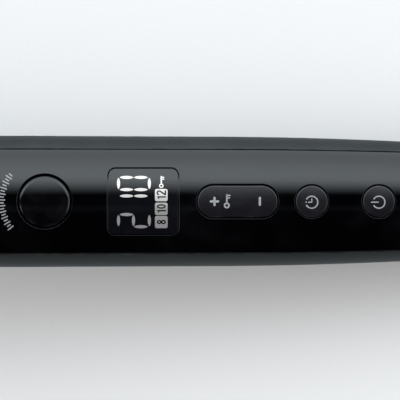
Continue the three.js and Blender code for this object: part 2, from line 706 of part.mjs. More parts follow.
/** Push switch on the board under a button. */
function pushSwitch(x) {
  const h = SWITCH_SIZE / 2;
  const body = block(x - h, x + h, -h, h, ON_BOARD, ON_BOARD + SWITCH_HEIGHT);
  return body.add(upright(PLUNGER_RADIUS, ON_BOARD + OVERLAP, SWITCH_TOP, x, 0, PIN_ROUND));
}

function displayModule() {
  const halfLength = DISPLAY_LENGTH / 2 - MODULE_INSET;
  const halfWidth = DISPLAY_WIDTH / 2 - MODULE_INSET;
  const lensInside = gripRadius(DISPLAY_X + DISPLAY_LENGTH / 2) - LENS_SINK - LENS_THICK;
  const top = Math.sqrt(lensInside ** 2 - halfWidth ** 2) - GAP;
  return block(DISPLAY_X - halfLength, DISPLAY_X + halfLength, -halfWidth, halfWidth, ON_BOARD, top);
}

// what the board carries: middle along the handle and size
const CHIP = { x: START_X + 11, length: 7, width: 10, height: 1.4 };
const BUZZER = { x: START_X + 18, radius: 5, height: 6 };
const CAPACITOR = { x: ROCKER_X + 4, length: 18, width: 9, height: 11 };
const TRIAC = { x: TIMER_X + 12, length: 10, width: 10, height: 4.5 };
const SINK = { x: TIMER_X + 11.5, length: 15, width: 14, plate: 1.5, fin: 1.2, fins: 4, height: 5 };
const FUSE = { x: POWER_X + 7, y: 6, length: 12, radius: 2.2 };

/** A box-shaped part standing between two heights, centred on the handle's axis. */
function boxed(part, z0, z1) {
  return block(part.x - part.length / 2, part.x + part.length / 2, -part.width / 2, part.width / 2, z0, z1);
}

function controllerChip() {
  return boxed(CHIP, ON_BOARD, ON_BOARD + CHIP.height);
}

function buzzer() {
  return upright(BUZZER.radius, UNDER_BOARD - BUZZER.height, UNDER_BOARD, BUZZER.x);
}

function filterCapacitor() {
  return boxed(CAPACITOR, UNDER_BOARD - CAPACITOR.height, UNDER_BOARD);
}

function triac() {
  return boxed(TRIAC, UNDER_BOARD - TRIAC.height, UNDER_BOARD);
}

/** Finned cooling plate under the power switch element. */
function heatSink() {
  const top = UNDER_BOARD - TRIAC.height - GAP;
  let sink = boxed(SINK, top - SINK.plate, top);
  for (let i = 0; i < SINK.fins; i += 1) {
    const y = -SINK.width / 2 + (SINK.width - SINK.fin) * (i / (SINK.fins - 1));
    const [x0, x1] = [SINK.x - SINK.length / 2, SINK.x + SINK.length / 2];
    sink = sink.add(block(x0, x1, y, y + SINK.fin, top - SINK.height, top - SINK.plate + OVERLAP));
  }
  return sink;
}

function boardFuse() {
  const { x, y, length, radius } = FUSE;
  return lengthwise(radius, x - length / 2, x + length / 2, y, UNDER_BOARD - radius);
}

/** Supply lead from the rear contacts to the board. */
function supplyLead(side) {
  const seat = BOARD_TOP + GAP + LEAD_RADIUS;
  const spread = POST_RADIUS + LEAD_RADIUS + 1;
  return wire([
    [BOARD_END - 5, side * spread, seat],
    [BOARD_END + 1, side * spread, seat],
    [SCREW_REAR_X, side * spread, 2],
    [BRUSH_HOLDER_X - 3, side * (spread - 0.6), 0],
    [BRUSH_HOLDER_X - GAP, side * (spread - 0.6), 0],
  ], LEAD_RADIUS, 8, 5);
}

// ---- buttons ---------------------------------------------------------------------------------------------

/** Top of a button's hidden flange, low enough to clear the cover's inside at half-width reach. */
function flangeTop(x, reach) {
  const inside = gripRadius(x + reach) - SHELL_WALL;
  return Math.sqrt(inside ** 2 - reach ** 2) - GAP;
}

/** Round push button about its own centre on the handle's axis; its face follows the grip's curve. */
function roundButton(x, radius, travel) {
  const reach = radius + FLANGE_REACH;
  const top = flangeTop(x, reach);
  const cap = upright(radius, top - OVERLAP, 2 * GRIP_RADIUS, x, 0, BUTTON_ROUND);
  const face = cap.intersect(buttonForm(x, radius));
  const flange = upright(reach, top - FLANGE_THICK, top, x, 0, INNER_ROUND);
  const stemEnd = SWITCH_TOP + travel + SWITCH_SLACK;
  const stem = upright(STEM_RADIUS, stemEnd, top - OVERLAP, x, 0, PIN_ROUND);
  return face.add(flange).add(stem).translate([-x, 0, 0]);
}

/** The form that a button's face is cut from, a little proud of the cover. */
function buttonForm(x, reach) {
  const margin = 1;
  const xs = stations(x - reach - margin, x + reach + margin, STATION);
  const outer = xs.map((s) => [s, gripRadius(s) + BUTTON_PROUD]);
  return turned([[xs[0], 0], ...outer, [xs[xs.length - 1], 0]]);
}

const ROCKER_PIN_Z = SWITCH_TOP + ROCKER_PIN_RISE;

/** Long rocker with a stem over each of its two switches, about its pin. */
function temperatureRocker() {
  const x = ROCKER_X;
  const reach = ROCKER_WIDTH / 2 + FLANGE_REACH;
  const swing = (ROCKER_LENGTH / 2 + FLANGE_REACH) * Math.sin(ROCKER_TILT);
  const top = flangeTop(x + ROCKER_LENGTH / 2, reach) - swing;
  const outline = stadium(x, ROCKER_LENGTH, ROCKER_WIDTH);
  const face = raised(outline, top - OVERLAP, 2 * GRIP_RADIUS).intersect(buttonForm(x, ROCKER_LENGTH / 2));
  const wide = stadium(x, ROCKER_LENGTH + 2 * FLANGE_REACH, 2 * reach);
  let rocker = face.add(raised(wide, top - FLANGE_THICK, top));
  const stemEnd = SWITCH_TOP + ROCKER_STEM_X * Math.sin(ROCKER_TILT) + SWITCH_SLACK;
  for (const side of [1, -1]) {
    const stemX = x + side * ROCKER_STEM_X;
    rocker = rocker.add(upright(STEM_RADIUS, stemEnd, top - OVERLAP, stemX, 0, PIN_ROUND));
  }
  const wall = ROCKER_LUG_WALL;
  const half = ROCKER_LUG_HALF;
  const lug = block(x - wall, x + wall, -half, half, ROCKER_PIN_Z - wall, top - OVERLAP);
  return rocker.add(lug).subtract(rockerBore()).translate([-x, 0, -ROCKER_PIN_Z]);
}

/** The hole for the rocker's pin. */
function rockerBore() {
  const radius = ROCKER_PIN_RADIUS + ROCKER_PIN_SLACK;
  return crosswise(radius, -THROUGH, THROUGH, ROCKER_X, ROCKER_PIN_Z, PIN_ROUND);
}

/** Small cradle on the board that carries the rocker's pin. */
function rockerCradle() {
  const inner = ROCKER_LUG_HALF + GAP;
  const outer = inner + CRADLE_POST;
  const foot = CRADLE_FOOT_HALF;
  const wall = ROCKER_LUG_WALL;
  const top = ROCKER_PIN_Z + CRADLE_RISE;
  let cradle = block(ROCKER_X - foot, ROCKER_X + foot, -outer, outer, ON_BOARD, ON_BOARD + CRADLE_FOOT);
  for (const side of [1, -1]) {
    const [y0, y1] = side > 0 ? [inner, outer] : [-outer, -inner];
    cradle = cradle.add(block(ROCKER_X - wall, ROCKER_X + wall, y0, y1, ON_BOARD + OVERLAP, top));
  }
  return cradle.subtract(rockerBore());
}

function rockerPin() {
  const half = ROCKER_LUG_HALF + GAP + CRADLE_POST;
  return crosswise(ROCKER_PIN_RADIUS, -half, half, 0, 0, PIN_ROUND);
}

// ---- rear end --------------------------------------------------------------------------------------------

const CAP_BORE = SWIVEL_FLANGE_RADIUS + CAP_CLEAR;
const BRUSH_HOLDER_X = SHELL_END - CAP_SPIGOT + BRUSH_HOLDER_INSET;
const FLANGE_REAR = HANDLE_END - CAP_WALL - GAP;
const FLANGE_FRONT = FLANGE_REAR - SWIVEL_FLANGE;

function rearEndCap() {
  const x0 = SHELL_END + GAP;
  const spigot = gripRadius(SHELL_END) - SHELL_WALL - GAP;
  const rounded = CAP_EDGE / 3;
  const outer = stations(x0, HANDLE_END - CAP_EDGE, CAP_STATION).map((x) => [x, gripRadius(x)]);
  return turned([
    [x0 - CAP_SPIGOT, CAP_BORE],
    [x0 - CAP_SPIGOT, spigot],
    [x0, spigot],
    ...outer,
    [HANDLE_END - rounded, gripRadius(HANDLE_END) - rounded],
    [HANDLE_END, gripRadius(HANDLE_END) - CAP_EDGE],
    [HANDLE_END, SWIVEL_RADIUS + SWIVEL_SLACK],
    [HANDLE_END - CAP_WALL, SWIVEL_RADIUS + SWIVEL_SLACK],
    [HANDLE_END - CAP_WALL, CAP_BORE],
  ]);
}

/** Swivelling outlet: flange inside the cap, neck through it and a tapered gland outside. */
function cordSwivel() {
  const out = HANDLE_END + SWIVEL_OUT;
  const boss = SWIVEL_RADIUS + SWIVEL_BOSS;
  return turned([
    [FLANGE_FRONT, SWIVEL_BORE],
    [FLANGE_FRONT, SWIVEL_FLANGE_RADIUS],
    [FLANGE_REAR, SWIVEL_FLANGE_RADIUS],
    [FLANGE_REAR, SWIVEL_RADIUS],
    [HANDLE_END + GAP, SWIVEL_RADIUS],
    [HANDLE_END + GAP, boss],
    [HANDLE_END + GAP + SWIVEL_BOSS_LENGTH, boss],
    [out - GLAND_CHAMFER.along, SWIVEL_RADIUS],
    [out, SWIVEL_RADIUS - GLAND_CHAMFER.across],
    [out, SWIVEL_BORE],
  ], BUTTON_ROUND).translate([-HANDLE_END, 0, 0]);
}

/** Brass ring on the swivel's front face. */
function contactRing([inner, outer]) {
  const rear = FLANGE_FRONT - GAP;
  return ring(rear - RING_THICK, rear, inner, outer, INNER_ROUND).translate([-HANDLE_END, 0, 0]);
}

/** Fixed disc that carries the two sprung brushes. */
function brushHolder() {
  const rear = BRUSH_HOLDER_X + BRUSH_HOLDER_THICK;
  return ring(BRUSH_HOLDER_X, rear, BRUSH_HOLDER_BORE, CAP_BORE - GAP, INNER_ROUND);
}

/** Leaf brush that runs on one contact ring; side says on which side of the axis it lies. */
function contactBrush(side, [inner, outer]) {
  const x0 = BRUSH_HOLDER_X + BRUSH_HOLDER_THICK + GAP;
  const x1 = FLANGE_FRONT - 2 * GAP - RING_THICK;
  const [near, far] = [inner + BRUSH_SLACK, outer - BRUSH_SLACK];
  const [y0, y1] = side > 0 ? [near, far] : [-far, -near];
  const [root, belly, face] = [1.2, 1.6, 0.9];
  const bend = x1 - 0.8;
  return sideways([[x0, -root], [bend, -belly], [x1, -face], [x1, face], [bend, belly], [x0, root]], y0, y1);
}

// ---- clamp -----------------------------------------------------------------------------------------------

/** Forked bracket on the collar that carries the clamp's pin. */
function pivotBracket() {
  const x0 = PIVOT_X - BRACKET_FRONT;
  const x1 = PIVOT_X + BRACKET_REAR;
  const saddleX = PIVOT_X + SADDLE_OFFSET;
  const eye = PIN_RADIUS + BRACKET_EYE_WALL;
  const low = BARREL_RADIUS;
  const outer = EAR_INNER + EAR_THICK;
  let bracket = block(saddleX, x1, -outer, outer, low, collarRadius(x1) + GAP + BRACKET_PLATE);
  for (const side of [1, -1]) {
    const [y0, y1] = side > 0 ? [EAR_INNER, outer] : [-outer, -EAR_INNER];
    const ear = sideways([
      [x0, low],
      [x1, low],
      [x1, collarRadius(x1) + BRACKET_PLATE],
      [PIVOT_X + eye, PIVOT_Z],
      [PIVOT_X - eye, PIVOT_Z],
    ], y0, y1);
    bracket = bracket.add(ear).add(crosswise(eye, y0, y1, PIVOT_X, PIVOT_Z));
  }
  const cone = stations(-COLLAR_NOSE, COLLAR_END, CONE_STATION).map((x) => [x, collarRadius(x) + GAP]);
  const keepOut = turned([[-COLLAR_NOSE, 0], ...cone, [COLLAR_END, 0]]);
  return bracket.subtract(keepOut).subtract(pivotBore());
}

/** The hole for the clamp's pin. */
function pivotBore() {
  return crosswise(PIN_RADIUS + PIN_SLACK, -THROUGH, THROUGH, PIVOT_X, PIVOT_Z);
}

function pivotPin() {
  const half = EAR_INNER + EAR_THICK + PIN_SLACK;
  return headedPin(PIN_RADIUS, half, { over: PIN_HEAD, height: PIN_HEAD });
}

/** A pin along Y, headed at both ends. */
function headedPin(radius, half, head) {
  let pin = crosswise(radius, -half - head.height, half + head.height);
  for (const side of [1, -1]) {
    const [y0, y1] = side > 0 ? [half, half + head.height] : [-half - head.height, -half];
    pin = pin.add(crosswise(radius + head.over, y0, y1));
  }
  return pin;
}

/** Torsion spring round the pin, with one leg on the bracket and one under the tongue. */
function clampSpring() {
  const y0 = KNUCKLE_HALF + GAP + SPRING_WIRE;
  const pitch = 2 * SPRING_WIRE + SPRING_GAP;
  const rest = SADDLE_OFFSET - GAP;
  const points = [[rest, y0, -SPRING_RADIUS], [rest / 2, y0, -SPRING_RADIUS]];
  for (const turn of stations(0, SPRING_TURNS, 1 / 10)) {
    const angle = 2 * Math.PI * turn;
    points.push([-SPRING_RADIUS * Math.sin(angle), y0 + pitch * turn, -SPRING_RADIUS * Math.cos(angle)]);
  }
  const y1 = y0 + pitch * SPRING_TURNS;
  const rise = Math.tan(LEVER_RISE);
  points.push([SPRING_LEG / 2, y1, SPRING_RADIUS], [SPRING_LEG, y1, SPRING_RADIUS + rise * SPRING_LEG / 2]);
  return wire(points, SPRING_WIRE, 48, 5);
}

/** A strip of even thickness along a side path of [x, z] points. */
function strip(path, thick, halfWidth) {
  const up = [];
  const down = [];
  path.forEach(([x, z], i) => {
    const [ax, az] = path[Math.max(0, i - 1)];
    const [bx, bz] = path[Math.min(path.length - 1, i + 1)];
    const length = Math.hypot(bx - ax, bz - az);
    const [nx, nz] = [-(bz - az) / length, (bx - ax) / length];
    up.push([x + (nx * thick) / 2, z + (nz * thick) / 2]);
    down.unshift([x - (nx * thick) / 2, z - (nz * thick) / 2]);
  });
  return sideways([...up, ...down], -halfWidth, halfWidth);
}

/** Spoon over the barrel, neck over the collar, knuckle on the pin and tongue under the lever. */
function clampSpoon() {
  const inner = BARREL_RADIUS + CLAMP_GAP;
  const front = -BARREL_LENGTH + CLAMP_END;
  const reach = 3 * BARREL_RADIUS;
  const side = reach * Math.tan(CLAMP_HALF_ANGLE);
  const wedge = toSolid(wedgeGeometry(front - OVERLAP, -CLAMP_REAR + OVERLAP, side, reach));
  const sheet = ring(front, -CLAMP_REAR, inner, inner + CLAMP_SHEET, SPOON_ROUND).intersect(wedge);
  const top = PIVOT_Z + TONGUE_Z;
  const tongue = (LEVER_REACH - TONGUE_SHORT) * Math.cos(LEVER_RISE);
  const neck = strip([
    [-CLAMP_REAR - NECK_LAP, inner + NECK_SHEET / 2],
    [-CLAMP_REAR, inner + NECK_SHEET / 2 + 0.2],
    [-COLLAR_NOSE - 1, inner + NECK_SHEET / 2 + 1.6],
    [PIVOT_X - 4, top - 1.2],
    [PIVOT_X - 1, top],
    [PIVOT_X + 2, top + 2 * Math.tan(LEVER_RISE)],
    [PIVOT_X + tongue, top + tongue * Math.tan(LEVER_RISE)],
  ], NECK_SHEET, NECK_HALF_WIDTH);
  const eye = PIN_RADIUS + KNUCKLE_WALL;
  const knuckle = crosswise(eye, -KNUCKLE_HALF, KNUCKLE_HALF, PIVOT_X, PIVOT_Z);
  const web = block(PIVOT_X - eye, PIVOT_X + eye, -KNUCKLE_HALF, KNUCKLE_HALF, PIVOT_Z, top - HOLE_SLACK);
  let spoon = sheet.add(neck).add(knuckle).add(web);
  spoon = spoon.subtract(pivotBore());
  for (const x of RIVET_XS) {
    const hole = upright(RIVET_RADIUS + HOLE_SLACK, -2 * NECK_SHEET, 2 * NECK_SHEET, x, 0, PIN_ROUND);
    spoon = spoon.subtract(onTongue(hole));
  }
  return spoon.translate([-PIVOT_X, 0, -PIVOT_Z]);
}

/** Wedge about the X axis, opening upwards. */
function wedgeGeometry(x0, x1, side, height) {
  const shape = new THREE.Shape([
    new THREE.Vector2(0, 0),
    new THREE.Vector2(-height, side),
    new THREE.Vector2(-height, -side),
  ]);
  const geometry = new THREE.ExtrudeGeometry(shape, { depth: x1 - x0, bevelEnabled: false });
  return geometry.rotateY(Math.PI / 2).translate(x0, 0, 0);
}

const RIVET_XS = [LEVER_FRONT + RIVET_INSET, LEVER_FRONT + RIVET_INSET + RIVET_PITCH];

/** Turns a solid given along the tongue (x from the pivot, z from the tongue's middle) into its place. */
function onTongue(solid) {
  const degrees = -THREE.MathUtils.radToDeg(LEVER_RISE);
  return solid.rotate([0, degrees, 0]).translate([PIVOT_X, 0, PIVOT_Z + TONGUE_Z]);
}

/** Plastic paddle for the thumb, on top of the tongue. */
function thumbLever() {
  const low = NECK_SHEET / 2 + GAP;
  const high = low + LEVER_THICK;
  const narrow = NECK_HALF_WIDTH;
  const wide = LEVER_HALF_WIDTH;
  const tipX = LEVER_REACH - wide;
  const tip = roundedOutline(tipX, 0, 2 * wide, 2 * wide, wide - HAIR, 5);
  const plan = [[LEVER_FRONT, -narrow], [tipX, -wide], [tipX, wide], [LEVER_FRONT, narrow]];
  let lever = raised(plan, low, high).add(raised(tip, low, high));
  const dishZ = high + LEVER_DISH - DISH_DEPTH;
  lever = lever.subtract(crosswise(LEVER_DISH, -THROUGH, THROUGH, LEVER_REACH - DISH_INSET, dishZ, 64));
  for (const x of RIVET_XS) {
    lever = lever.subtract(upright(RIVET_RADIUS + HOLE_SLACK, 0, 2 * high, x, 0, PIN_ROUND));
  }
  return onTongue(lever).translate([-PIVOT_X, 0, -PIVOT_Z]);
}

/** Rivet through tongue and lever, headed below. */
function leverRivet(x) {
  const seat = -NECK_SHEET / 2 - GAP;
  const shank = upright(RIVET_RADIUS, seat - GAP, NECK_SHEET / 2 + GAP + RIVET_RISE, x, 0, PIN_ROUND);
  const head = upright(RIVET_RADIUS + RIVET_HEAD.over, seat - RIVET_HEAD.height, seat, x, 0, PIN_ROUND);
  return onTongue(shank.add(head)).translate([-PIVOT_X, 0, -PIVOT_Z]);
}

// ---- stand -----------------------------------------------------------------------------------------------

const STAND_INNER = LUG_INNER + LUG_THICK + GAP;
const STAND_EYE = STAND_PIN_RADIUS + STAND_EYE_WALL;

/** Turns a solid given on the table (z from the table, x from the feet) into the handle frame. */
function onTable(solid) {
  return solid.rotate([0, -THREE.MathUtils.radToDeg(TILT), 0]).translate([FOOT_X, 0, -STAND_HEIGHT]);
}

/** U-shaped stand: an eye and an arm each side, and a cross bar over the feet. */
function kickstand() {
  const barLow = FOOT_THICK + GAP;
  let stand = onTable(block(-STAND_ARM_WIDTH / 2, STAND_ARM_WIDTH / 2, -STAND_HALF_WIDTH, STAND_HALF_WIDTH,
    barLow, barLow + STAND_BAR));
  const footZ = -STAND_HEIGHT + barLow + STAND_BAR / 2;
  const along = new THREE.Vector2(FOOT_X - STAND_X, footZ - STAND_Z);
  const across = new THREE.Vector2(-along.y, along.x).setLength(STAND_ARM_WIDTH / 2);
  for (const side of [1, -1]) {
    const near = STAND_INNER;
    const far = STAND_INNER + STAND_ARM_THICK;
    const [y0, y1] = side > 0 ? [near, far] : [-far, -near];
    const arm = sideways([
      [STAND_X + across.x, STAND_Z + across.y],
      [STAND_X - across.x, STAND_Z - across.y],
      [FOOT_X - across.x, footZ - across.y],
      [FOOT_X + across.x, footZ + across.y],
    ], y0, y1);
    const span = 2 * STAND_HEIGHT;
    stand = stand.add(arm.intersect(onTable(block(-span, span, -span, span, barLow, span))));
    stand = stand.add(crosswise(STAND_EYE, y0, y1, STAND_X, STAND_Z));
  }
  stand = stand.subtract(crosswise(STAND_PIN_RADIUS + PIN_SLACK, -THROUGH, THROUGH, STAND_X, STAND_Z));
  return stand.translate([-STAND_X, 0, -STAND_Z]);
}

/** Rubber foot under the cross bar. */
function standFoot(side) {
  const y = side * (STAND_HALF_WIDTH - FOOT_RADIUS);
  return onTable(upright(FOOT_RADIUS, 0, FOOT_THICK, 0, y, INNER_ROUND)).translate([-STAND_X, 0, -STAND_Z]);
}

function standPin() {
  return headedPin(STAND_PIN_RADIUS, STAND_INNER + STAND_ARM_THICK + PIN_SLACK, STAND_PIN_HEAD);
}

// ---- put together ----------------------------------------------------------------------------------------

add("lower_housing", lowerHousing(), SATIN_BLACK);
add("control_cover", controlCover(), GLOSS_BLACK);
add("front_collar", frontCollar(), SATIN_BLACK);
add("collar_trim_ring", collarTrimRing(), BRIGHT_METAL);
add("rear_end_cap", rearEndCap(), SATIN_BLACK);
add("housing_screw_front", housingScrew(SCREW_FRONT_X), BRIGHT_METAL);
add("housing_screw_rear", housingScrew(SCREW_REAR_X), BRIGHT_METAL);
add("display_lens", displayLens(), LENS_BLACK);
add("display_module", displayModule(), INNER_PLASTIC);
add("main_circuit_board", mainCircuitBoard(), BOARD_GREEN);
add("board_screw_front", boardScrew(BOARD_SCREWS[0]), BRIGHT_METAL);
add("board_screw_rear", boardScrew(BOARD_SCREWS[1]), BRIGHT_METAL);
add("start_switch", pushSwitch(START_X), INNER_PLASTIC);
add("plus_switch", pushSwitch(ROCKER_X - ROCKER_STEM_X), INNER_PLASTIC);
add("minus_switch", pushSwitch(ROCKER_X + ROCKER_STEM_X), INNER_PLASTIC);
add("timer_switch", pushSwitch(TIMER_X), INNER_PLASTIC);
add("power_switch", pushSwitch(POWER_X), INNER_PLASTIC);
add("controller_chip", controllerChip(), INNER_PLASTIC);
add("buzzer", buzzer(), INNER_PLASTIC);
add("filter_capacitor", filterCapacitor(), PALE_PLASTIC);
add("triac", triac(), INNER_PLASTIC);
add("heat_sink", heatSink(), ALUMINIUM);
add("board_fuse", boardFuse(), CERAMIC);
add("rocker_cradle", rockerCradle(), INNER_PLASTIC);
add("rocker_pin", rockerPin(), BRIGHT_METAL, [ROCKER_X, 0, ROCKER_PIN_Z]);
add("supply_lead_live", supplyLead(1), RED_LEAD);
add("supply_lead_neutral", supplyLead(-1), WHITE_LEAD);
add("brush_holder", brushHolder(), PALE_PLASTIC);
add("brush_live", contactBrush(1, RINGS[0]), BRASS);
add("brush_neutral", contactBrush(-1, RINGS[1]), BRASS);

add("barrel_tube", barrelTube(), HOT_COATING);
add("tip_bush", tipBush(), PALE_PLASTIC);
add("tip_cap", tipCap(), SATIN_BLACK);
add("barrel_holder", barrelHolder(), PALE_PLASTIC);
add("heater_carrier_upper", heaterCarrier(1), ALUMINIUM);
add("heater_carrier_lower", heaterCarrier(-1), ALUMINIUM);
add("ceramic_heater", ceramicHeater(), CERAMIC);
add("temperature_sensor", temperatureSensor(), CERAMIC);
add("thermal_fuse", thermalFuse(), CERAMIC);
add("heater_lead_live", heaterLead(1), RED_LEAD);
add("heater_lead_neutral", heaterLead(-1), WHITE_LEAD);
add("sensor_lead", sensorLead(), WHITE_LEAD);

add("pivot_bracket", pivotBracket(), BRIGHT_METAL);
add("pivot_pin", pivotPin(), BRIGHT_METAL, [PIVOT_X, 0, PIVOT_Z]);
add("clamp_spring", clampSpring(), BRIGHT_METAL, [PIVOT_X, 0, PIVOT_Z]);
add("clamp_spoon", clampSpoon(), HOT_COATING, [PIVOT_X, 0, PIVOT_Z]);
add("thumb_lever", thumbLever(), SATIN_BLACK, [PIVOT_X, 0, PIVOT_Z]);
add("lever_rivet_front", leverRivet(RIVET_XS[0]), BRIGHT_METAL, [PIVOT_X, 0, PIVOT_Z]);
add("lever_rivet_rear", leverRivet(RIVET_XS[1]), BRIGHT_METAL, [PIVOT_X, 0, PIVOT_Z]);

add("stand_pin", standPin(), BRIGHT_METAL, [STAND_X, 0, STAND_Z]);
add("kickstand", kickstand(), BRIGHT_METAL, [STAND_X, 0, STAND_Z]);
add("stand_foot_left", standFoot(1), DARK_RUBBER, [STAND_X, 0, STAND_Z]);
add("stand_foot_right", standFoot(-1), DARK_RUBBER, [STAND_X, 0, STAND_Z]);

add("start_button", roundButton(START_X, START_RADIUS, START_TRAVEL), GLOSS_BLACK, [START_X, 0, 0]);
add("temperature_rocker", temperatureRocker(), BUTTON_BLACK, [ROCKER_X, 0, ROCKER_PIN_Z]);
add("timer_button", roundButton(TIMER_X, SMALL_BUTTON_RADIUS, SMALL_TRAVEL), BUTTON_BLACK, [TIMER_X, 0, 0]);
add("power_button", roundButton(POWER_X, SMALL_BUTTON_RADIUS, SMALL_TRAVEL), BUTTON_BLACK, [POWER_X, 0, 0]);

add("cord_swivel", cordSwivel(), DARK_RUBBER, [HANDLE_END, 0, 0]);
add("contact_ring_inner", contactRing(RINGS[0]), BRASS, [HANDLE_END, 0, 0]);
add("contact_ring_outer", contactRing(RINGS[1]), BRASS, [HANDLE_END, 0, 0]);

// The iron stands on its feet and on the rear of its grip: the handle frame leans by that angle, and the
// origin goes to the middle of the whole part's underside.
handleFrame.rotation.y = TILT;
const curlingIron = new THREE.Group();
curlingIron.add(handleFrame);
curlingIron.updateMatrixWorld(true);
const bounds = new THREE.Box3().setFromObject(curlingIron, true);
const middle = bounds.getCenter(new THREE.Vector3());
handleFrame.position.set(-middle.x, -middle.y, -bounds.min.z);
curlingIron.updateMatrixWorld(true);

export default curlingIron;
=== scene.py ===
# %% [markdown]
# # A curling iron, finished in Blender
#
# The frame below is the working model of the iron: every part at its real size, with the bodies that move.
# This file dresses that frame. Most of the visible parts of a curling iron are thin plastic mouldings and
# turned metal, so two tools do nearly all the work: one that makes a moulded plate with rounded edges along
# any curved surface, and one that turns a profile into a round part. Both know the true direction of the
# surface at every point, which is what makes gloss plastic reflect cleanly.

# %% Load the frame
import json
import math

import bpy
import numpy as np
from mathutils import Matrix, Vector
from mathutils.geometry import delaunay_2d_cdt
from mathutils.kdtree import KDTree


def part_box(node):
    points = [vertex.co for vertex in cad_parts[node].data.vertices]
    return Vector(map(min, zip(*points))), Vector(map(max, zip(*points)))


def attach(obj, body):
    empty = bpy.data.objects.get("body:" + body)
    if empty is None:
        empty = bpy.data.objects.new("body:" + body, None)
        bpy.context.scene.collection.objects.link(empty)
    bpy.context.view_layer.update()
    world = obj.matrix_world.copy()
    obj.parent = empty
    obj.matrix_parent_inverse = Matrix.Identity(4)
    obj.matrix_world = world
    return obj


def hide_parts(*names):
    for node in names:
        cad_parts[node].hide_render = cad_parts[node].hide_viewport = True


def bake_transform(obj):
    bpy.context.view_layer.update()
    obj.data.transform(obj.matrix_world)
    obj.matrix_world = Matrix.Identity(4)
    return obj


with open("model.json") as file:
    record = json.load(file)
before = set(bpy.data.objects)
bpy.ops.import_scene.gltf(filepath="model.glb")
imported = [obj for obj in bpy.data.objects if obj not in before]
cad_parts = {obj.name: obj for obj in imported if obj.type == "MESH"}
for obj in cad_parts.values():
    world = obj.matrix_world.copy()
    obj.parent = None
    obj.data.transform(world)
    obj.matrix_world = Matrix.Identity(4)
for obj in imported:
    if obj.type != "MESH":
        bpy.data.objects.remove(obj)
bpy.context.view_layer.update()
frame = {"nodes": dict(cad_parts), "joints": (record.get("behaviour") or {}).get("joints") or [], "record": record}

# %% [markdown]
# ## The handle's own frame
#
# The iron rests on its fold-out stand, so the handle leans a few degrees. Working along a leaning axis would
# be a nuisance, so every part is made in the handle's own frame, in millimetres: x runs from the barrel's
# foot towards the cord, z comes out of the control cover. One matrix then carries it to its place. The joints
# say where that frame is: the cord outlet turns on the handle's axis, the buttons press along its z.

# %% Handle frame from the joints
MM = 0.001
joints = {joint["name"]: joint for joint in frame["joints"]}
outlet_centre = Vector(joints["cord_swivel_turn"]["pos_m"])
along = Vector(joints["cord_swivel_turn"]["axis"]).normalized()
out_of_cover = -Vector(joints["start_press"]["axis"]).normalized()
sideways = out_of_cover.cross(along)
to_foot = (Vector(joints["stand_hinge"]["pos_m"]) - outlet_centre).dot(along)
HANDLE = Matrix((along, sideways, out_of_cover)).transposed().to_4x4()
HANDLE.translation = outlet_centre + along * to_foot
TO_HANDLE = np.array(HANDLE.inverted())


def in_handle(point):
    """A point of the frame, in the handle's millimetres."""
    return (HANDLE.inverted() @ Vector(point)) / MM


def node_points(node):
    """A CAD node's corners in the handle's millimetres."""
    found = np.array([v.co for v in frame["nodes"][node].data.vertices], float)
    return (found @ TO_HANDLE[:3, :3].T + TO_HANDLE[:3, 3]) / MM


def span(node):
    """Lowest and highest corner of a CAD node in the handle's millimetres."""
    found = node_points(node)
    return Vector(found.min(0)), Vector(found.max(0))


def face_span(node, depth=2.5):
    """Lowest and highest corner of what lies within depth of a node's top."""
    found = node_points(node)
    top = found[found[:, 2] > found[:, 2].max() - depth]
    return Vector(top.min(0)), Vector(top.max(0))


print("handle leans", round(math.degrees(math.asin(-along.z)), 2), "degrees")

# %% [markdown]
# ## The grip's outline
#
# The two shells of the grip were turned from one profile. Its radius and the width of the control cover are
# read off the frame at the sections it was made with, and a smooth curve is laid through them. Reading them,
# instead of writing the numbers again, keeps this file right if the handle is ever made slimmer.

# %% Read the profile
def sections(node, corners):
    """The sections of a turned node: for each x with more than so many corners, those corners."""
    found = node_points(node)
    places = np.round(found[:, 0] * 5) / 5
    values, counts = np.unique(places, return_counts=True)
    return [(float(np.median(found[places == x, 0])), found[places == x]) for x in values[counts > corners]]


def smooth_curve(xs, ys):
    """A smooth curve through points, as a function of x that also takes arrays."""
    slopes = np.gradient(ys, xs)

    def value(x):
        x = np.clip(x, xs[0], xs[-1])
        i = np.clip(np.searchsorted(xs, x) - 1, 0, len(xs) - 2)
        width = xs[i + 1] - xs[i]
        t = (x - xs[i]) / width
        return (
            ys[i] * (1 + 2 * t) * (1 - t) ** 2
            + slopes[i] * width * t * (1 - t) ** 2
            + ys[i + 1] * t ** 2 * (3 - 2 * t)
            + slopes[i + 1] * width * t ** 2 * (t - 1)
        )

    return value


WHOLE_SECTION = 150  # a section right round a shell has more corners than this
shell_sections = sections("lower_housing", WHOLE_SECTION)
section_x = np.array([x for x, _ in shell_sections])
section_r = np.array([np.hypot(found[:, 1], found[:, 2]).max() for _, found in shell_sections])
grip_radius = smooth_curve(section_x, section_r)
cover_sections = sections("control_cover", WHOLE_SECTION)
cover_edge = np.array([np.abs(found[:, 1]).max() for _, found in cover_sections])
cover_half = smooth_curve(np.array([x for x, _ in cover_sections]), cover_edge)
GRIP_START, GRIP_END = section_x[0], section_x[-1]
GIRTH = float(section_r.max())  # turns an angle round the grip into a length along its skin
print("grip from", round(GRIP_START, 1), "to", round(GRIP_END, 1), "mm, radius", np.round(section_r, 2))

# %% [markdown]
# ## Tool one: a moulded plate
#
# A plastic moulding is a plate of even thickness with small rounded edges, bent over some surface, with
# openings in it. It could be cut with booleans and bevelled, but on a gloss black surface the long thin faces
# that a boolean leaves would show as ripples in the reflection. So the plate is laid out flat instead: its
# outline and openings are filled with even triangles, each edge gets its own rounded rim, and only then is
# every point carried onto the curved surface, together with the surface's true normal.

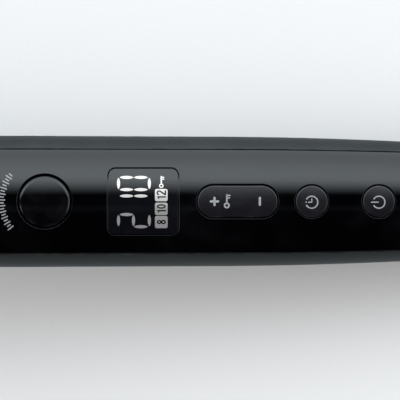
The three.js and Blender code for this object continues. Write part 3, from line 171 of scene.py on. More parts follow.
# %% Outlines
def ring_of(loop, turn):
    """The loop as an array, running anticlockwise for turn 1 and clockwise for turn -1."""
    loop = np.array(loop, float)
    x, y = loop[:, 0], loop[:, 1]
    area = np.sum(x * np.roll(y, -1) - np.roll(x, -1) * y) / 2
    return loop if area * turn > 0 else loop[::-1]


def into_material(loop):
    """At each point of a loop, the step that moves both of its sides one unit to the left."""
    ahead = np.roll(loop, -1, axis=0) - loop
    ahead /= np.linalg.norm(ahead, axis=1, keepdims=True)
    left = np.stack([-ahead[:, 1], ahead[:, 0]], axis=1)
    before = np.roll(left, 1, axis=0)
    return (left + before) / (1 + np.sum(left * before, axis=1, keepdims=True)).clip(0.2)


def rounded_rectangle(cx, cy, length, width, corner, step=0.5):
    """Outline of a rectangle with round corners; corner may be half its width."""
    points = []
    quarter = max(3, math.ceil(corner * math.pi / 2 / min(step, corner * 0.3)))
    signs = [(1, 1), (-1, 1), (-1, -1), (1, -1)]
    for k, (sx, sy) in enumerate(signs):
        for i in range(quarter + 1):
            angle = math.pi / 2 * (k + i / quarter)
            points.append((
                cx + sx * (length / 2 - corner) + corner * math.cos(angle),
                cy + sy * (width / 2 - corner) + corner * math.sin(angle),
            ))
    return resampled(points, step)


def resampled(loop, step):
    """The same loop with long straight stretches divided, and no point twice."""
    out = []
    for a, b in zip(loop, loop[1:] + loop[:1]):
        length = math.dist(a, b)
        if length < 1e-4:
            continue
        count = max(1, round(length / step))
        out += [(a[0] + (b[0] - a[0]) * i / count, a[1] + (b[1] - a[1]) * i / count) for i in range(count)]
    return out


def circle(cx, cy, radius, step=0.4):
    """Outline of a circle."""
    count = max(12, math.ceil(2 * math.pi * radius / step))
    turns = [2 * math.pi * i / count for i in range(count)]
    return [(cx + radius * math.cos(t), cy + radius * math.sin(t)) for t in turns]


# %% Filling and rounding
ROW_SHARE = 0.87  # rows of even triangles lie this share of their spacing apart
BORDER_SHARE = 0.6  # no inner point lies closer to the border than this share of the spacing


def in_the_material(loops, places):
    """Which places lie within the outline and outside the openings: a ray to the right crosses an odd
    number of their edges."""
    crossings = np.zeros(len(places), int)
    x, y = places[:, 0], places[:, 1]
    for loop in loops:
        for (ax, ay), (bx, by) in zip(loop, np.roll(loop, -1, axis=0)):
            if ay != by:
                passes = (ay > y) != (by > y)
                crossings += passes & (x < ax + (y - ay) * (bx - ax) / (by - ay))
    return crossings % 2 == 1


def fill(loops, spacing):
    """Even triangles between loops: the points, the triangles and where each loop's points went."""
    border = [Vector(p) for loop in loops for p in loop]
    edges, start = [], 0
    for loop in loops:
        edges += [(start + i, start + (i + 1) % len(loop)) for i in range(len(loop))]
        start += len(loop)
    tree = KDTree(len(border))
    for i, p in enumerate(border):
        tree.insert((p.x, p.y, 0), i)
    tree.balance()
    low, high = loops[0].min(0), loops[0].max(0)
    inner = []
    for row in range(int((high[1] - low[1]) / (spacing * ROW_SHARE)) + 1):
        y = low[1] + row * spacing * ROW_SHARE
        for x in np.arange(low[0] + (row % 2) * spacing / 2, high[0], spacing):
            if tree.find((x, y, 0))[2] > BORDER_SHARE * spacing:
                inner.append(Vector((x, y)))
    points, _, triangles, origin, _, _ = delaunay_2d_cdt(border + inner, edges, [], 1, 1e-6)
    place = {source: i for i, sources in enumerate(origin) for source in sources}
    middles = np.array([sum((points[i] for i in t), Vector((0, 0))) / 3 for t in triangles])
    triangles = [t for t, kept in zip(triangles, in_the_material(loops, middles)) if kept]
    used = sorted({i for t in triangles for i in t})
    new = {old: i for i, old in enumerate(used)}
    flat = np.array([points[i] for i in used])
    faces = [tuple(new[i] for i in t) for t in triangles]
    return flat, faces, [new[place[i]] for i in range(len(border))]


def surface_frame(at, uv):
    """Points, unit normals and the two unit directions of a surface at an array of places."""
    step = 0.02
    u, v = uv[:, 0], uv[:, 1]
    along_u = at(u + step, v) - at(u - step, v)
    along_v = at(u, v + step) - at(u, v - step)
    along_u /= np.linalg.norm(along_u, axis=1, keepdims=True)
    along_v /= np.linalg.norm(along_v, axis=1, keepdims=True)
    normal = np.cross(along_u, along_v)
    normal /= np.linalg.norm(normal, axis=1, keepdims=True)
    return at(u, v), normal, along_u, along_v


def band(first, second):
    """The faces between two closed rows of points."""
    size = len(first)
    return [(first[i], second[i], second[i + 1 - size], first[i + 1 - size]) for i in range(size)]


def moulding(outline, openings, at, thick, edge=0.2, spacing=1.3, steps=4, roll=None, upright="none"):
    """A closed plate over the surface at(u, v), its edges rounded over edge mm across and roll mm down.
    upright says whose walls stand along z instead of square to the surface: "none", "openings" or "all"."""
    roll = roll or edge
    loops = [ring_of(outline, 1)] + [ring_of(o, -1) for o in openings]
    steps_in = [into_material(loop) for loop in loops]
    flat, triangles, border = fill([loop + s * edge for loop, s in zip(loops, steps_in)], spacing)
    top, normal, _, _ = surface_frame(at, flat)
    count = len(flat)
    points, normals, marks = [top, top - normal * thick], [normal, -normal], [np.zeros(2 * count)]
    faces = [tuple(t) for t in triangles] + [tuple(i + count for i in reversed(t)) for t in triangles]
    over = [math.pi / 2 * k / steps for k in range(1, steps + 1)]
    rows = [(edge * (1 - math.sin(t)), roll * (1 - math.cos(t)), t, edge) for t in over]
    under = [math.pi / 2 * (1 + k / steps) for k in range(steps)]
    rows += [(roll * (1 - math.sin(t)), thick - roll * (1 + math.cos(t)), t, roll) for t in under]
    start, total = 0, 2 * count
    for number, (loop, inward) in enumerate(zip(loops, steps_in)):
        standing = upright == "all" or (upright == "openings" and number > 0)
        size = len(loop)
        first = border[start:start + size]
        last = [i + count for i in first]
        start += size
        previous = first
        for inset, drop, turn, across in rows:
            place, up, du, dv = surface_frame(at, loop + inward * inset)
            outward = -(du * inward[:, :1] + dv * inward[:, 1:])
            if standing:
                outward[:, 2] = 0
            outward /= np.linalg.norm(outward, axis=1, keepdims=True)
            down = np.array([[0.0, 0.0, 1.0]]) if standing else up
            facing = up * math.cos(turn) * across + outward * math.sin(turn) * roll
            points.append(place - down * drop)
            normals.append(facing / np.linalg.norm(facing, axis=1, keepdims=True))
            marks.append(np.full(size, math.sin(turn)))
            current = list(range(total, total + size))
            total += size
            faces += band(previous, current)
            previous = current
        if standing:
            points[1][first] = points[0][first] - np.array([[0.0, 0.0, thick]])
        faces += band(previous, last)
    return np.concatenate(points), faces, np.concatenate(normals), np.concatenate(marks)


# %% [markdown]
# ## Tool two: a turned part
#
# Barrel, collar, caps and pins are round, so each is a profile spun about an axis. Corners of the profile are
# given a small radius, because no real edge is perfectly sharp and that radius is what catches the light.

# %% Turning
STRAIGHT = math.radians(2)  # a bend smaller than this is left as it is
ARC_STEP = math.radians(18)
SIDE_SHARE = 0.48  # a rounded corner takes at most this share of the side next to it


def rounded_profile(profile, default):
    """Points (x, r) or (x, r, corner radius) of a profile, with its corners turned to arcs, and the outward
    normal at each."""
    flat = [(p[0], p[1]) for p in profile]
    points, normals = [], []
    for i, p in enumerate(profile):
        corner = p[2] if len(p) > 2 else default
        before = Vector(flat[i]) - Vector(flat[i - 1]) if i else None
        after = Vector(flat[i + 1]) - Vector(flat[i]) if i + 1 < len(flat) else None
        a = (before or after).normalized()
        b = (after or before).normalized()
        bend = math.atan2(a.x * b.y - a.y * b.x, a.dot(b))
        if not corner or before is None or after is None or abs(bend) < STRAIGHT:
            middle = (a + b).normalized()
            points.append(flat[i])
            normals.append((-middle.y, middle.x))
            continue
        shorter = min(before.length, after.length)
        reach = min(corner * math.tan(abs(bend) / 2), shorter * SIDE_SHARE)
        side = math.copysign(reach / math.tan(abs(bend) / 2), bend)
        centre = Vector(flat[i]) - a * reach + Vector((-a.y, a.x)) * side
        steps = max(3, math.ceil(abs(bend) / ARC_STEP))
        for k in range(steps + 1):
            turn = bend * k / steps
            cosine, sine = math.cos(turn), math.sin(turn)
            ahead = Vector((a.x * cosine - a.y * sine, a.x * sine + a.y * cosine))
            out = Vector((-ahead.y, ahead.x))
            points.append(tuple(centre - out * side))
            normals.append(tuple(out))
    return points, normals


def turned(profile, axis=Matrix(), segments=96, corner=0.2, closed=True):
    """A profile of (x, r) turned about the x axis of the matrix axis; a closed one is a ring, and an open
    one ends on the axis. The profile runs towards +x on its outer side."""
    corners = [tuple(p) for p in profile]
    if closed:
        middle = ((corners[0][0] + corners[1][0]) / 2, (corners[0][1] + corners[1][1]) / 2)
        corners = [middle] + corners[1:] + [corners[0], middle]
    outline, outward = rounded_profile(corners, corner)
    if closed:
        outline, outward = outline[:-1], outward[:-1]
    turns = 2 * math.pi * np.arange(segments) / segments
    points, normals, faces, rows, total = [], [], [], [], 0
    for (x, r), (nx, nr) in zip(outline, outward):
        count = segments if r > 1e-6 else 1
        rows.append([total + k % count for k in range(segments)])
        total += count
        around = np.stack([np.zeros(count), np.sin(turns[:count]), np.cos(turns[:count])], axis=1)
        lengthwise = np.array([[1.0, 0.0, 0.0]])
        points.append(x * lengthwise + r * around)
        normals.append(nx * lengthwise + nr * around if count > 1 else lengthwise * math.copysign(1, nx))
    for a, b in list(zip(rows, rows[1:])) + ([(rows[-1], rows[0])] if closed else []):
        for k in range(segments):
            face = tuple(dict.fromkeys((a[k - 1], b[k - 1], b[k], a[k])))
            if len(face) > 2:
                faces.append(face)
    spin = np.array(axis.to_3x3())
    points = np.concatenate(points) @ spin.T + np.array(axis.translation)
    return points, faces, np.concatenate(normals) @ spin.T, np.zeros(total)


def axis_at(point, direction):
    """A matrix whose x axis runs along direction from point."""
    axis = Vector(direction).to_track_quat("X", "Z").to_matrix().to_4x4()
    axis.translation = Vector(point)
    return axis


def swept(path, radius, sides=12):
    """A round wire along a path of points, with domed ends."""
    path = [Vector(p) for p in path]
    ahead = [(path[min(i + 1, len(path) - 1)] - path[max(i - 1, 0)]).normalized() for i in range(len(path))]
    across = ahead[0].orthogonal().normalized()
    rings, ring_normals = [], []

    def lay(centre, direction, across, size, lean):
        up = direction.cross(across)
        for k in range(sides):
            turn = 2 * math.pi * k / sides
            out = across * math.cos(turn) + up * math.sin(turn)
            rings.append(centre + out * size)
            ring_normals.append((out * math.cos(lean) + direction * math.sin(lean)).normalized())

    dome = [math.radians(a) for a in (80, 50, 25)]
    for lean in dome:
        lay(path[0] - ahead[0] * radius * math.sin(lean), ahead[0], across, radius * math.cos(lean), -lean)
    for point, direction in zip(path, ahead):
        across = (across - direction * across.dot(direction)).normalized()
        lay(point, direction, across, radius, 0)
    for lean in reversed(dome):
        lay(path[-1] + ahead[-1] * radius * math.sin(lean), ahead[-1], across, radius * math.cos(lean), lean)
    count = len(rings) // sides
    faces = []
    for i in range(count - 1):
        for k in range(sides):
            a, b = i * sides + k, i * sides + (k + 1) % sides
            faces.append((a, b, b + sides, a + sides))
    faces += [tuple(reversed(range(sides))), tuple(range((count - 1) * sides, count * sides))]
    return np.array(rings), faces, np.array(ring_normals), np.zeros(len(rings))


print("tools ready: moulding, turned, swept")


# %% [markdown]
# ## Camera, floor and light
#
# The view is a product close-up: straight down onto the control cover with a long lens, so that nothing
# bulges towards the camera. Gloss black plastic shows hardly any colour of its own. What gives it shape is
# what it reflects, so the light comes first: one broad softbox to the side that fades in smoothly near the
# top, and darkness on the other side. It could be an area light, but a lamp's hard outline would show in
# the gloss. A sky that is brighter in some directions fades as softly as one likes.

# %% Camera
VIEW_CENTRE = Vector((94.75, 0.38, 0))
VIEW_WIDTH = 109.5
CAMERA_DISTANCE = 3600
SENSOR = 36

lens_data = bpy.data.cameras.new("close_up")
lens_data.sensor_width = SENSOR
lens_data.lens = SENSOR * CAMERA_DISTANCE / VIEW_WIDTH
lens_data.clip_start = 0.01
close_up = bpy.data.objects.new("close_up", lens_data)
bpy.context.scene.collection.objects.link(close_up)
close_up.matrix_world = HANDLE @ Matrix.Translation((VIEW_CENTRE + Vector((0, 0, CAMERA_DISTANCE))) * MM)
bpy.context.scene.camera = close_up
bpy.context.scene.view_settings.view_transform = "Standard"
print("lens", round(lens_data.lens), "mm")


# %% A short way to write nodes
class Nodes:
    """Adds nodes to a tree; an input is a number, a colour or another node's output."""

    def __init__(self, tree):
        self.tree = tree
        tree.nodes.clear()

    def add(self, kind, inputs=None, **settings):
        node = self.tree.nodes.new(kind if kind.startswith("Node") else "ShaderNode" + kind)
        for key, value in settings.items():
            setattr(node, key, value)
        for key, value in (inputs or {}).items():
            if isinstance(value, bpy.types.NodeSocket):
                self.tree.links.new(value, node.inputs[key])
            else:
                node.inputs[key].default_value = value
        return node

    def math(self, operation, *values):
        node = self.add("Math", dict(enumerate(values)), operation=operation)
        return node.outputs[0]

    def smooth(self, value, low, high, start=0.0, end=1.0):
        """A soft step from start to end as value goes from low to high."""
        inputs = {"Value": value, "From Min": low, "From Max": high, "To Min": start, "To Max": end}
        return self.add("MapRange", inputs, interpolation_type="SMOOTHSTEP").outputs[0]

    def blend(self, share, first, second):
        """A colour between two colours."""
        node = self.add("Mix", data_type="RGBA")
        for socket, value in zip((node.inputs[0], node.inputs[6], node.inputs[7]), (share, first, second)):
            if isinstance(value, bpy.types.NodeSocket):
                self.tree.links.new(value, socket)
            else:
                socket.default_value = value
        return node.outputs[2]


# %% The sky
SOFTBOX = 2.85
SOFTBOX_TINT = (0.925, 1.02, 1.075)
END_FILL = 2.2
GLOW = 0.045
ROOM_FILL = 0.9
TABLE_SHEEN = 0.35  # what gloss and satin see below the horizon
BACKDROP = (0.80, 0.80, 0.81, 1.0)
BOX_START, BOX_FULL = math.radians(9.8), math.radians(45)  # roll about the handle, from straight above
FALL_START, FALL_END, FALL_TO = math.radians(50), math.radians(100), 0.6
GLOW_ROLL, GLOW_EDGE, GLOW_CORE = math.radians(12.8), math.radians(9), math.radians(1)
END_START, END_FULL = 0.72, 0.92
TABLE_START, TABLE_FULL = math.radians(104), math.radians(122)

world = bpy.data.worlds.new("studio")
bpy.context.scene.world = world
world.use_nodes = True
sky = Nodes(world.node_tree)
direction = sky.add("TexCoord").outputs["Generated"]


def towards(axis):
    """How far the looked-at direction points along an axis, from -1 to 1."""
    inputs = {0: direction, 1: tuple(axis)}
    return sky.add("VectorMath", inputs, operation="DOT_PRODUCT").outputs["Value"]


roll = sky.math("ARCTAN2", towards(sideways), towards(out_of_cover))
endwise = sky.math("ABSOLUTE", towards(along))
box_edge = sky.smooth(roll, BOX_START, BOX_FULL)
box_fall = sky.smooth(roll, FALL_START, FALL_END, 1.0, FALL_TO)
softbox = sky.math("MULTIPLY", sky.math("MULTIPLY", box_edge, box_fall), SOFTBOX)
off_glow = sky.math("ABSOLUTE", sky.math("ADD", roll, GLOW_ROLL))
glow = sky.smooth(off_glow, GLOW_EDGE, GLOW_CORE, 0.0, GLOW)
ends = sky.smooth(endwise, END_START, END_FULL, 0.0, END_FILL)
above = sky.math("MAXIMUM", sky.math("ADD", softbox, glow), ends)
beneath = sky.smooth(sky.math("ABSOLUTE", roll), TABLE_START, TABLE_FULL)
upper_light = sky.math("MULTIPLY", above, sky.math("SUBTRACT", 1.0, beneath))
lit = sky.math("ADD", upper_light, sky.math("MULTIPLY", beneath, TABLE_SHEEN))
tint = sky.add("VectorMath", {0: SOFTBOX_TINT, "Scale": lit}, operation="SCALE").outputs["Vector"]
path = sky.add("LightPath")
bounced = sky.math("MULTIPLY", path.outputs["Is Diffuse Ray"], ROOM_FILL)  # light that the walls send back
room = sky.add("VectorMath", {0: (1.0, 1.0, 1.0), "Scale": bounced}, operation="SCALE").outputs["Vector"]
filled = sky.add("VectorMath", {0: tint, 1: room}, operation="ADD").outputs["Vector"]
studio_colour = sky.blend(path.outputs["Is Camera Ray"], filled, BACKDROP)
background = sky.add("Background", {"Color": studio_colour, "Strength": 1.0})
sky.add("OutputWorld", {"Surface": background.outputs[0]})
print("softbox of", SOFTBOX, "and ends of", END_FILL)

# %% The floor
FLOOR_HALF = 14
floor_mesh = bpy.data.meshes.new("floor")
corner_signs = [(-1, -1), (1, -1), (1, 1), (-1, 1)]
floor_corners = [(x * FLOOR_HALF, y * FLOOR_HALF, 0) for x, y in corner_signs]
floor_mesh.from_pydata(floor_corners, [], [(0, 1, 2, 3)])
floor = bpy.data.objects.new("floor", floor_mesh)
bpy.context.scene.collection.objects.link(floor)
floor_finish = bpy.data.materials.new("floor_paper")
floor_finish.use_nodes = True
paper = Nodes(floor_finish.node_tree)
flecks = paper.add("TexNoise", {"Vector": paper.add("TexCoord").outputs["Object"], "Scale": 900.0})
paper_colour = paper.blend(flecks.outputs["Fac"], (0.62, 0.605, 0.60, 1), (0.64, 0.625, 0.62, 1))
paper_look = {"Base Color": paper_colour, "Roughness": 0.9, "Specular IOR Level": 0.1}
paper_skin = paper.add("BsdfPrincipled", paper_look)
mirrored = paper.add("LightPath").outputs["Is Glossy Ray"]  # the gloss sees the studio, not the paper
unseen = paper.add("BsdfTransparent")
paper_mix = paper.add("MixShader", {0: mirrored, 1: paper_skin.outputs[0], 2: unseen.outputs[0]})
paper.add("OutputMaterial", {"Surface": paper_mix.outputs[0]})
floor_mesh.materials.append(floor_finish)

# %% [markdown]
# ## Effects that the finishes share
#
# No real surface is one even colour. Moulded plastic carries the fine texture of its mould, handling leaves
# a cloudy film on gloss, drawn metal has lines along it, and edges wear paler. Each of these is made once as
# a node group with its own sockets, so that every finish can use it at its own size and strength.


# %% Shared effects
def effect(name, inputs, outputs):
    """An empty node group with float or vector inputs and float outputs; returns it with its ends."""
    tree = bpy.data.node_groups.new(name, "ShaderNodeTree")
    nodes = Nodes(tree)
    for label, value in inputs.items():
        kind = "NodeSocketVector" if value is None else "NodeSocketFloat"
        socket = tree.interface.new_socket(label, in_out="INPUT", socket_type=kind)
        if value is not None:
            socket.default_value = value
    for label in outputs:
        tree.interface.new_socket(label, in_out="OUTPUT", socket_type="NodeSocketFloat")
    return tree, nodes, nodes.add("NodeGroupInput").outputs


def make_mould_grain():
    """Fine pebbled texture of a mould; Size is the pebbles' width in metres."""
    tree, nodes, given = effect("mould_grain", {"Vector": None, "Size": 0.0003}, ["Height"])
    scale = nodes.math("DIVIDE", 1.0, given["Size"])
    inputs = {"Vector": given["Vector"], "Scale": scale, "Smoothness": 0.7}
    pebbles = nodes.add("TexVoronoi", inputs, feature="SMOOTH_F1")
    dust = nodes.add("TexNoise", {"Vector": given["Vector"], "Scale": scale, "Detail": 3.0})
    height = nodes.math("ADD", nodes.math("MULTIPLY", pebbles.outputs["Distance"], 0.6), dust.outputs["Fac"])
    nodes.add("NodeGroupOutput", {"Height": height})
    return tree


def make_hand_film():
    """Cloudy film and faint smears that handling leaves; Film is 0 where clean and 1 where thickest."""
    tree, nodes, given = effect("hand_film", {"Vector": None, "Size": 0.012}, ["Film"])
    scale = nodes.math("DIVIDE", 1.0, given["Size"])
    inputs = {"Vector": given["Vector"], "Scale": scale, "Detail": 4.0, "Distortion": 0.8}
    cloud = nodes.add("TexNoise", inputs)
    soft = nodes.smooth(cloud.outputs["Fac"], 0.42, 0.78)
    finer = nodes.math("MULTIPLY", scale, 14.0)
    streak = nodes.add("TexNoise", {"Vector": given["Vector"], "Scale": finer, "Detail": 2.0})
    film = nodes.math("MULTIPLY", soft, nodes.smooth(streak.outputs["Fac"], 0.3, 0.7, 0.6, 1.0))
    nodes.add("NodeGroupOutput", {"Film": film})
    return tree


def make_edge_wear():
    """Rubbed edges, broken up; Wear is 0 on faces and rises to Amount on the roundest part of an edge."""
    tree, nodes, given = effect("edge_wear", {"Vector": None, "Amount": 0.5}, ["Wear"])
    edge = nodes.add("Attribute", attribute_name="edge").outputs["Fac"]
    patches = nodes.add("TexNoise", {"Vector": given["Vector"], "Scale": 260.0, "Detail": 4.0})
    rubbed = nodes.math("MULTIPLY", edge, nodes.smooth(patches.outputs["Fac"], 0.35, 0.7))
    nodes.add("NodeGroupOutput", {"Wear": nodes.math("MULTIPLY", rubbed, given["Amount"])})
    return tree


def make_drawn_lines():
    """Fine lines along the handle, as drawn or brushed metal has; Size is their spacing in metres."""
    tree, nodes, given = effect("drawn_lines", {"Vector": None, "Size": 0.0002}, ["Height"])
    scale = nodes.math("DIVIDE", 1.0, given["Size"])
    drawn_out = {0: given["Vector"], 1: (0.02, 1.0, 1.0)}
    squeezed = nodes.add("VectorMath", drawn_out, operation="MULTIPLY").outputs[0]
    lines = nodes.add("TexNoise", {"Vector": squeezed, "Scale": scale, "Detail": 3.0})
    nodes.add("NodeGroupOutput", {"Height": lines.outputs["Fac"]})
    return tree


MOULD_GRAIN = make_mould_grain()
HAND_FILM = make_hand_film()
EDGE_WEAR = make_edge_wear()
DRAWN_LINES = make_drawn_lines()
print("effects:", [tree.name for tree in bpy.data.node_groups])

# %% [markdown]
# ## The finishes
#
# One recipe serves them all: a colour that drifts a little, a film that dulls it in places, a surface texture
# and rubbed edges. What makes black lacquer differ from rubber is only how strong each of these is. Sizes
# are in millimetres, so that a grain of 0.25 really is a quarter of a millimetre across.


# %% The recipe
FINISHES = {}


def finish(slot, colour, rough, metal=0.0, drift=0.12, film=(12, 0.05), grain=(0.3, 0.004), lines=None,
           wear=0.0, worn=None, glow=None, **constant):
    """A finish for one material slot. film and grain are (size in mm, strength): the film's strength is added
    roughness and the grain's is its depth in mm. lines, instead of grain, gives drawn metal."""
    made = bpy.data.materials.new(slot)
    made.use_nodes = True
    nodes = Nodes(made.node_tree)
    here = nodes.add("TexCoord").outputs["Object"]

    def shared(tree, **inputs):
        node = nodes.add("Group", node_tree=tree)
        nodes.tree.links.new(here, node.inputs["Vector"])
        for key, value in inputs.items():
            node.inputs[key].default_value = value
        return node.outputs[0]

    cloud = shared(HAND_FILM, Size=film[0] * MM)
    pale = [min(1.0, c * (1 + drift) + 0.02 * drift) for c in colour] + [1]
    deep = [c * (1 - drift) for c in colour] + [1]
    skin = nodes.blend(cloud, deep, pale)
    if wear:
        skin = nodes.blend(shared(EDGE_WEAR, Amount=wear), skin, [*(worn or pale[:3]), 1])
    dull = nodes.math("ADD", nodes.math("MULTIPLY", cloud, film[1]), rough)
    size, depth = lines or grain
    height = shared(DRAWN_LINES if lines else MOULD_GRAIN, Size=size * MM)
    relief = nodes.add("Bump", {"Height": height, "Strength": 1.0, "Distance": depth * MM})
    inputs = {"Base Color": skin, "Roughness": dull, "Metallic": metal, "Normal": relief.outputs[0]}
    shader = nodes.add("BsdfPrincipled", {**inputs, **constant})
    if glow:
        nodes.tree.links.new(glow(nodes, here), shader.inputs["Emission Color"])
        shader.inputs["Emission Strength"].default_value = 1.0
    nodes.add("OutputMaterial", {"Surface": shader.outputs[0]})
    FINISHES[slot] = made
    return made


# %% Plastics outside
finish("satin_shell", (0.019, 0.021, 0.022), 0.38, film=(16, 0.05), grain=(0.22, 0.004), wear=0.5,
       worn=(0.06, 0.065, 0.07), **{"Specular IOR Level": 0.25})
finish("gloss_cover", (0.0007, 0.0007, 0.0011), 0.03, film=(18, 0.035), grain=(2.6, 0.0012), wear=0.25,
       worn=(0.02, 0.02, 0.022))
finish("gloss_button", (0.0015, 0.0014, 0.002), 0.06, film=(6, 0.05), grain=(1.6, 0.001), wear=0.3,
       worn=(0.03, 0.03, 0.033))
finish("tinted_button", (0.0050, 0.0038, 0.0068), 0.36, film=(7, 0.06), grain=(0.16, 0.0012), wear=0.5,
       worn=(0.06, 0.058, 0.066))
finish("display_window", (0.0036, 0.0038, 0.0052), 0.05, film=(9, 0.04), grain=(3.0, 0.001))
finish("swivel_plastic", (0.022, 0.023, 0.025), 0.42, grain=(0.3, 0.008), wear=0.5, worn=(0.07, 0.07, 0.075))
finish("heat_plastic", (0.050, 0.050, 0.052), 0.46, film=(10, 0.1), grain=(0.25, 0.006), wear=0.4,
       worn=(0.11, 0.11, 0.115))
finish("dark_rubber", (0.016, 0.016, 0.017), 0.72, film=(5, 0.12), grain=(0.4, 0.02))
finish("printed_marks", (0.25, 0.25, 0.26), 0.5, film=(2, 0.1), grain=(0.08, 0.001))

# %% Metals outside
finish("barrel_coating", (0.070, 0.066, 0.070), 0.26, 0.35, film=(22, 0.10), grain=(0.12, 0.0012))
finish("clamp_metal", (0.085, 0.080, 0.084), 0.27, 0.45, film=(16, 0.10), grain=(0.12, 0.0012), wear=0.7,
       worn=(0.42, 0.41, 0.41))
finish("bright_metal", (0.60, 0.60, 0.61), 0.24, 1.0, film=(8, 0.10), lines=(0.25, 0.0016), wear=0.4,
       worn=(0.78, 0.78, 0.79))
finish("screw_steel", (0.42, 0.42, 0.43), 0.30, 1.0, film=(3, 0.12), lines=(0.12, 0.001))


# %% Display light
# Where the display's glow is brightest and where it has faded: this fade is a painted reflection of the softbox on
# the +y side.
BRIGHT_Y, FADED_Y = 6.0, -6.6


def segment_glow_and_painted_sheen(nodes, here):
    """Lit segments that glow as a display does, with a painted softbox reflection over the glow: bright on the
    side away from the thumb, where the softbox is, and fading towards the other.
    """
    across = nodes.add("SeparateXYZ", {"Vector": here}).outputs["Y"]
    reach = {"Value": across, "From Min": FADED_Y * MM, "From Max": BRIGHT_Y * MM}
    fade = nodes.add("MapRange", reach).outputs[0]
    ramp = nodes.add("ValToRGB", {"Fac": fade})
    stops = ramp.color_ramp.elements
    stops[0].position, stops[0].color = 0.0, (0.22, 0.21, 0.22, 1)
    stops[1].position, stops[1].color = 0.95, (1.0, 1.0, 1.0, 1)
    for place, level in ((0.36, 0.27), (0.58, 0.55), (0.78, 0.86)):
        stops.new(place).color = (level, level, level * 1.01, 1)
    return ramp.outputs["Color"]


# Partly real, partly painted light: the segments really glow, but their fade across y is a painted softbox
# reflection.
finish("display_light", (0.02, 0.02, 0.02), 0.3, film=(3, 0.05), grain=(0.2, 0.0005), glow=segment_glow_and_painted_sheen)

# %% What is inside
finish("aluminium", (0.62, 0.63, 0.65), 0.38, 1.0, film=(9, 0.12), lines=(0.3, 0.003))
finish("brass", (0.62, 0.43, 0.16), 0.30, 1.0, film=(4, 0.15), lines=(0.2, 0.002))
finish("circuit_board", (0.018, 0.095, 0.045), 0.42, film=(5, 0.08), grain=(0.5, 0.006))
finish("inner_plastic", (0.022, 0.022, 0.024), 0.5, grain=(0.3, 0.008))
finish("pale_plastic", (0.55, 0.51, 0.44), 0.55, film=(6, 0.1), grain=(0.4, 0.01))
finish("white_ceramic", (0.78, 0.76, 0.71), 0.45, film=(4, 0.1), grain=(0.15, 0.006))
finish("red_lead", (0.30, 0.03, 0.022), 0.5, film=(3, 0.1), grain=(0.3, 0.006))
finish("white_lead", (0.72, 0.71, 0.68), 0.5, film=(3, 0.1), grain=(0.3, 0.006))
slot_of = {part["node"]: part["material_slot"] for part in frame["record"]["subparts"]}
for node, shown in frame["nodes"].items():
    shown.data.materials.clear()
    shown.data.materials.append(FINISHES[slot_of[node]])
print(len(FINISHES), "finishes on", len(slot_of), "nodes")


# %% [markdown]
# ## Putting a piece in its place
#
# A piece is one or more shapes joined into a single mesh. It rides on the body that moves it, it stands for
# the frame's plainer node, and it says which finish it takes.


# %% Pieces
TO_WORLD = np.array(HANDLE)


def piece(name, body, slot, nodes, *shapes):
    """One named piece made of shapes, riding on a body and standing for frame nodes."""
    points, faces, normals, marks = [], [], [], []
    for shape_points, shape_faces, shape_normals, shape_marks in shapes:
        start = sum(len(p) for p in points)
        points.append(shape_points)
        normals.append(shape_normals)
        marks.append(shape_marks)
        faces += [tuple(i + start for i in face) for face in shape_faces]
    turn, shift = TO_WORLD[:3, :3], TO_WORLD[:3, 3]
    mesh = bpy.data.meshes.new(name)
    mesh.from_pydata((np.concatenate(points) * MM @ turn.T + shift).tolist(), [], faces)
    mesh.shade_smooth()
    edge = mesh.attributes.new("edge", "FLOAT", "POINT")
    edge.data.foreach_set("value", np.concatenate(marks).astype(np.float32))
    mesh.normals_split_custom_set_from_vertices((np.concatenate(normals) @ turn.T).tolist())
    mesh.materials.append(FINISHES[slot])
    made = bpy.data.objects.new(name, mesh)
    bpy.context.scene.collection.objects.link(made)
    if body:
        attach(made, body)
    if nodes:
        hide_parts(*nodes)
    print(name, len(mesh.polygons), "faces")
    return made


# %% [markdown]
# ## The grip's two shells
#
# The control cover is a gloss black strip with the display and the buttons in it; the lower housing is the
# satin shell round the rest. Both are the same kind of moulding, bent round the grip, so both come from one
# surface: a place along the handle and a length round its girth. The thin dark joint between them is simply
# the gap that the two plates leave.

# %% Surfaces of the grip
WALL = 2.0
SHELL_SEAM = 0.3
SEAM_EDGE = 0.22


def round_grip(rise=0.0):
    """The grip's skin as a surface of (x, length round the girth), raised by rise."""
    def at(u, v):
        radius = grip_radius(u) + rise
        return np.stack([u, radius * np.sin(v / GIRTH), radius * np.cos(v / GIRTH)], axis=1)
    return at


def over_grip(rise=0.0):
    """The top of the grip's skin as a surface of (x, y), raised by rise."""
    def at(u, v):
        return np.stack([u, v, np.sqrt((grip_radius(u) + rise) ** 2 - v ** 2)], axis=1)
    return at


def wrapped(loop):
    """A loop of (x, y) seen from above, as (x, length round the girth)."""
    return [(x, GIRTH * math.asin(y / float(grip_radius(x)))) for x, y in loop]


def strip_outline(x0, x1, low, high, step=1.6):
    """Outline of a strip along the grip between the curves low(x) and high(x)."""
    xs = np.linspace(x0, x1, math.ceil((x1 - x0) / step) + 1)
    right = [(x, low(x)) for x in xs]
    left = [(x, high(x)) for x in xs[::-1]]
    return resampled(right + left, step)


def seam_at(x, beyond=0.0):
    """Length round the girth from the top line to the seam."""
    return GIRTH * math.asin((float(cover_half(x)) + beyond) / float(grip_radius(x)))


# %% Places of the controls
BUTTON_SLACK = 0.3
ROCKER_SLACK = 0.38
LENS_SLACK = 0.15


def middle_and_size(node, whole=False):
    """Where a control's face is, seen from above: middle x, middle y, length and width."""
    low, high = span(node) if whole else face_span(node)
    return (low.x + high.x) / 2, (low.y + high.y) / 2, high.x - low.x, high.y - low.y


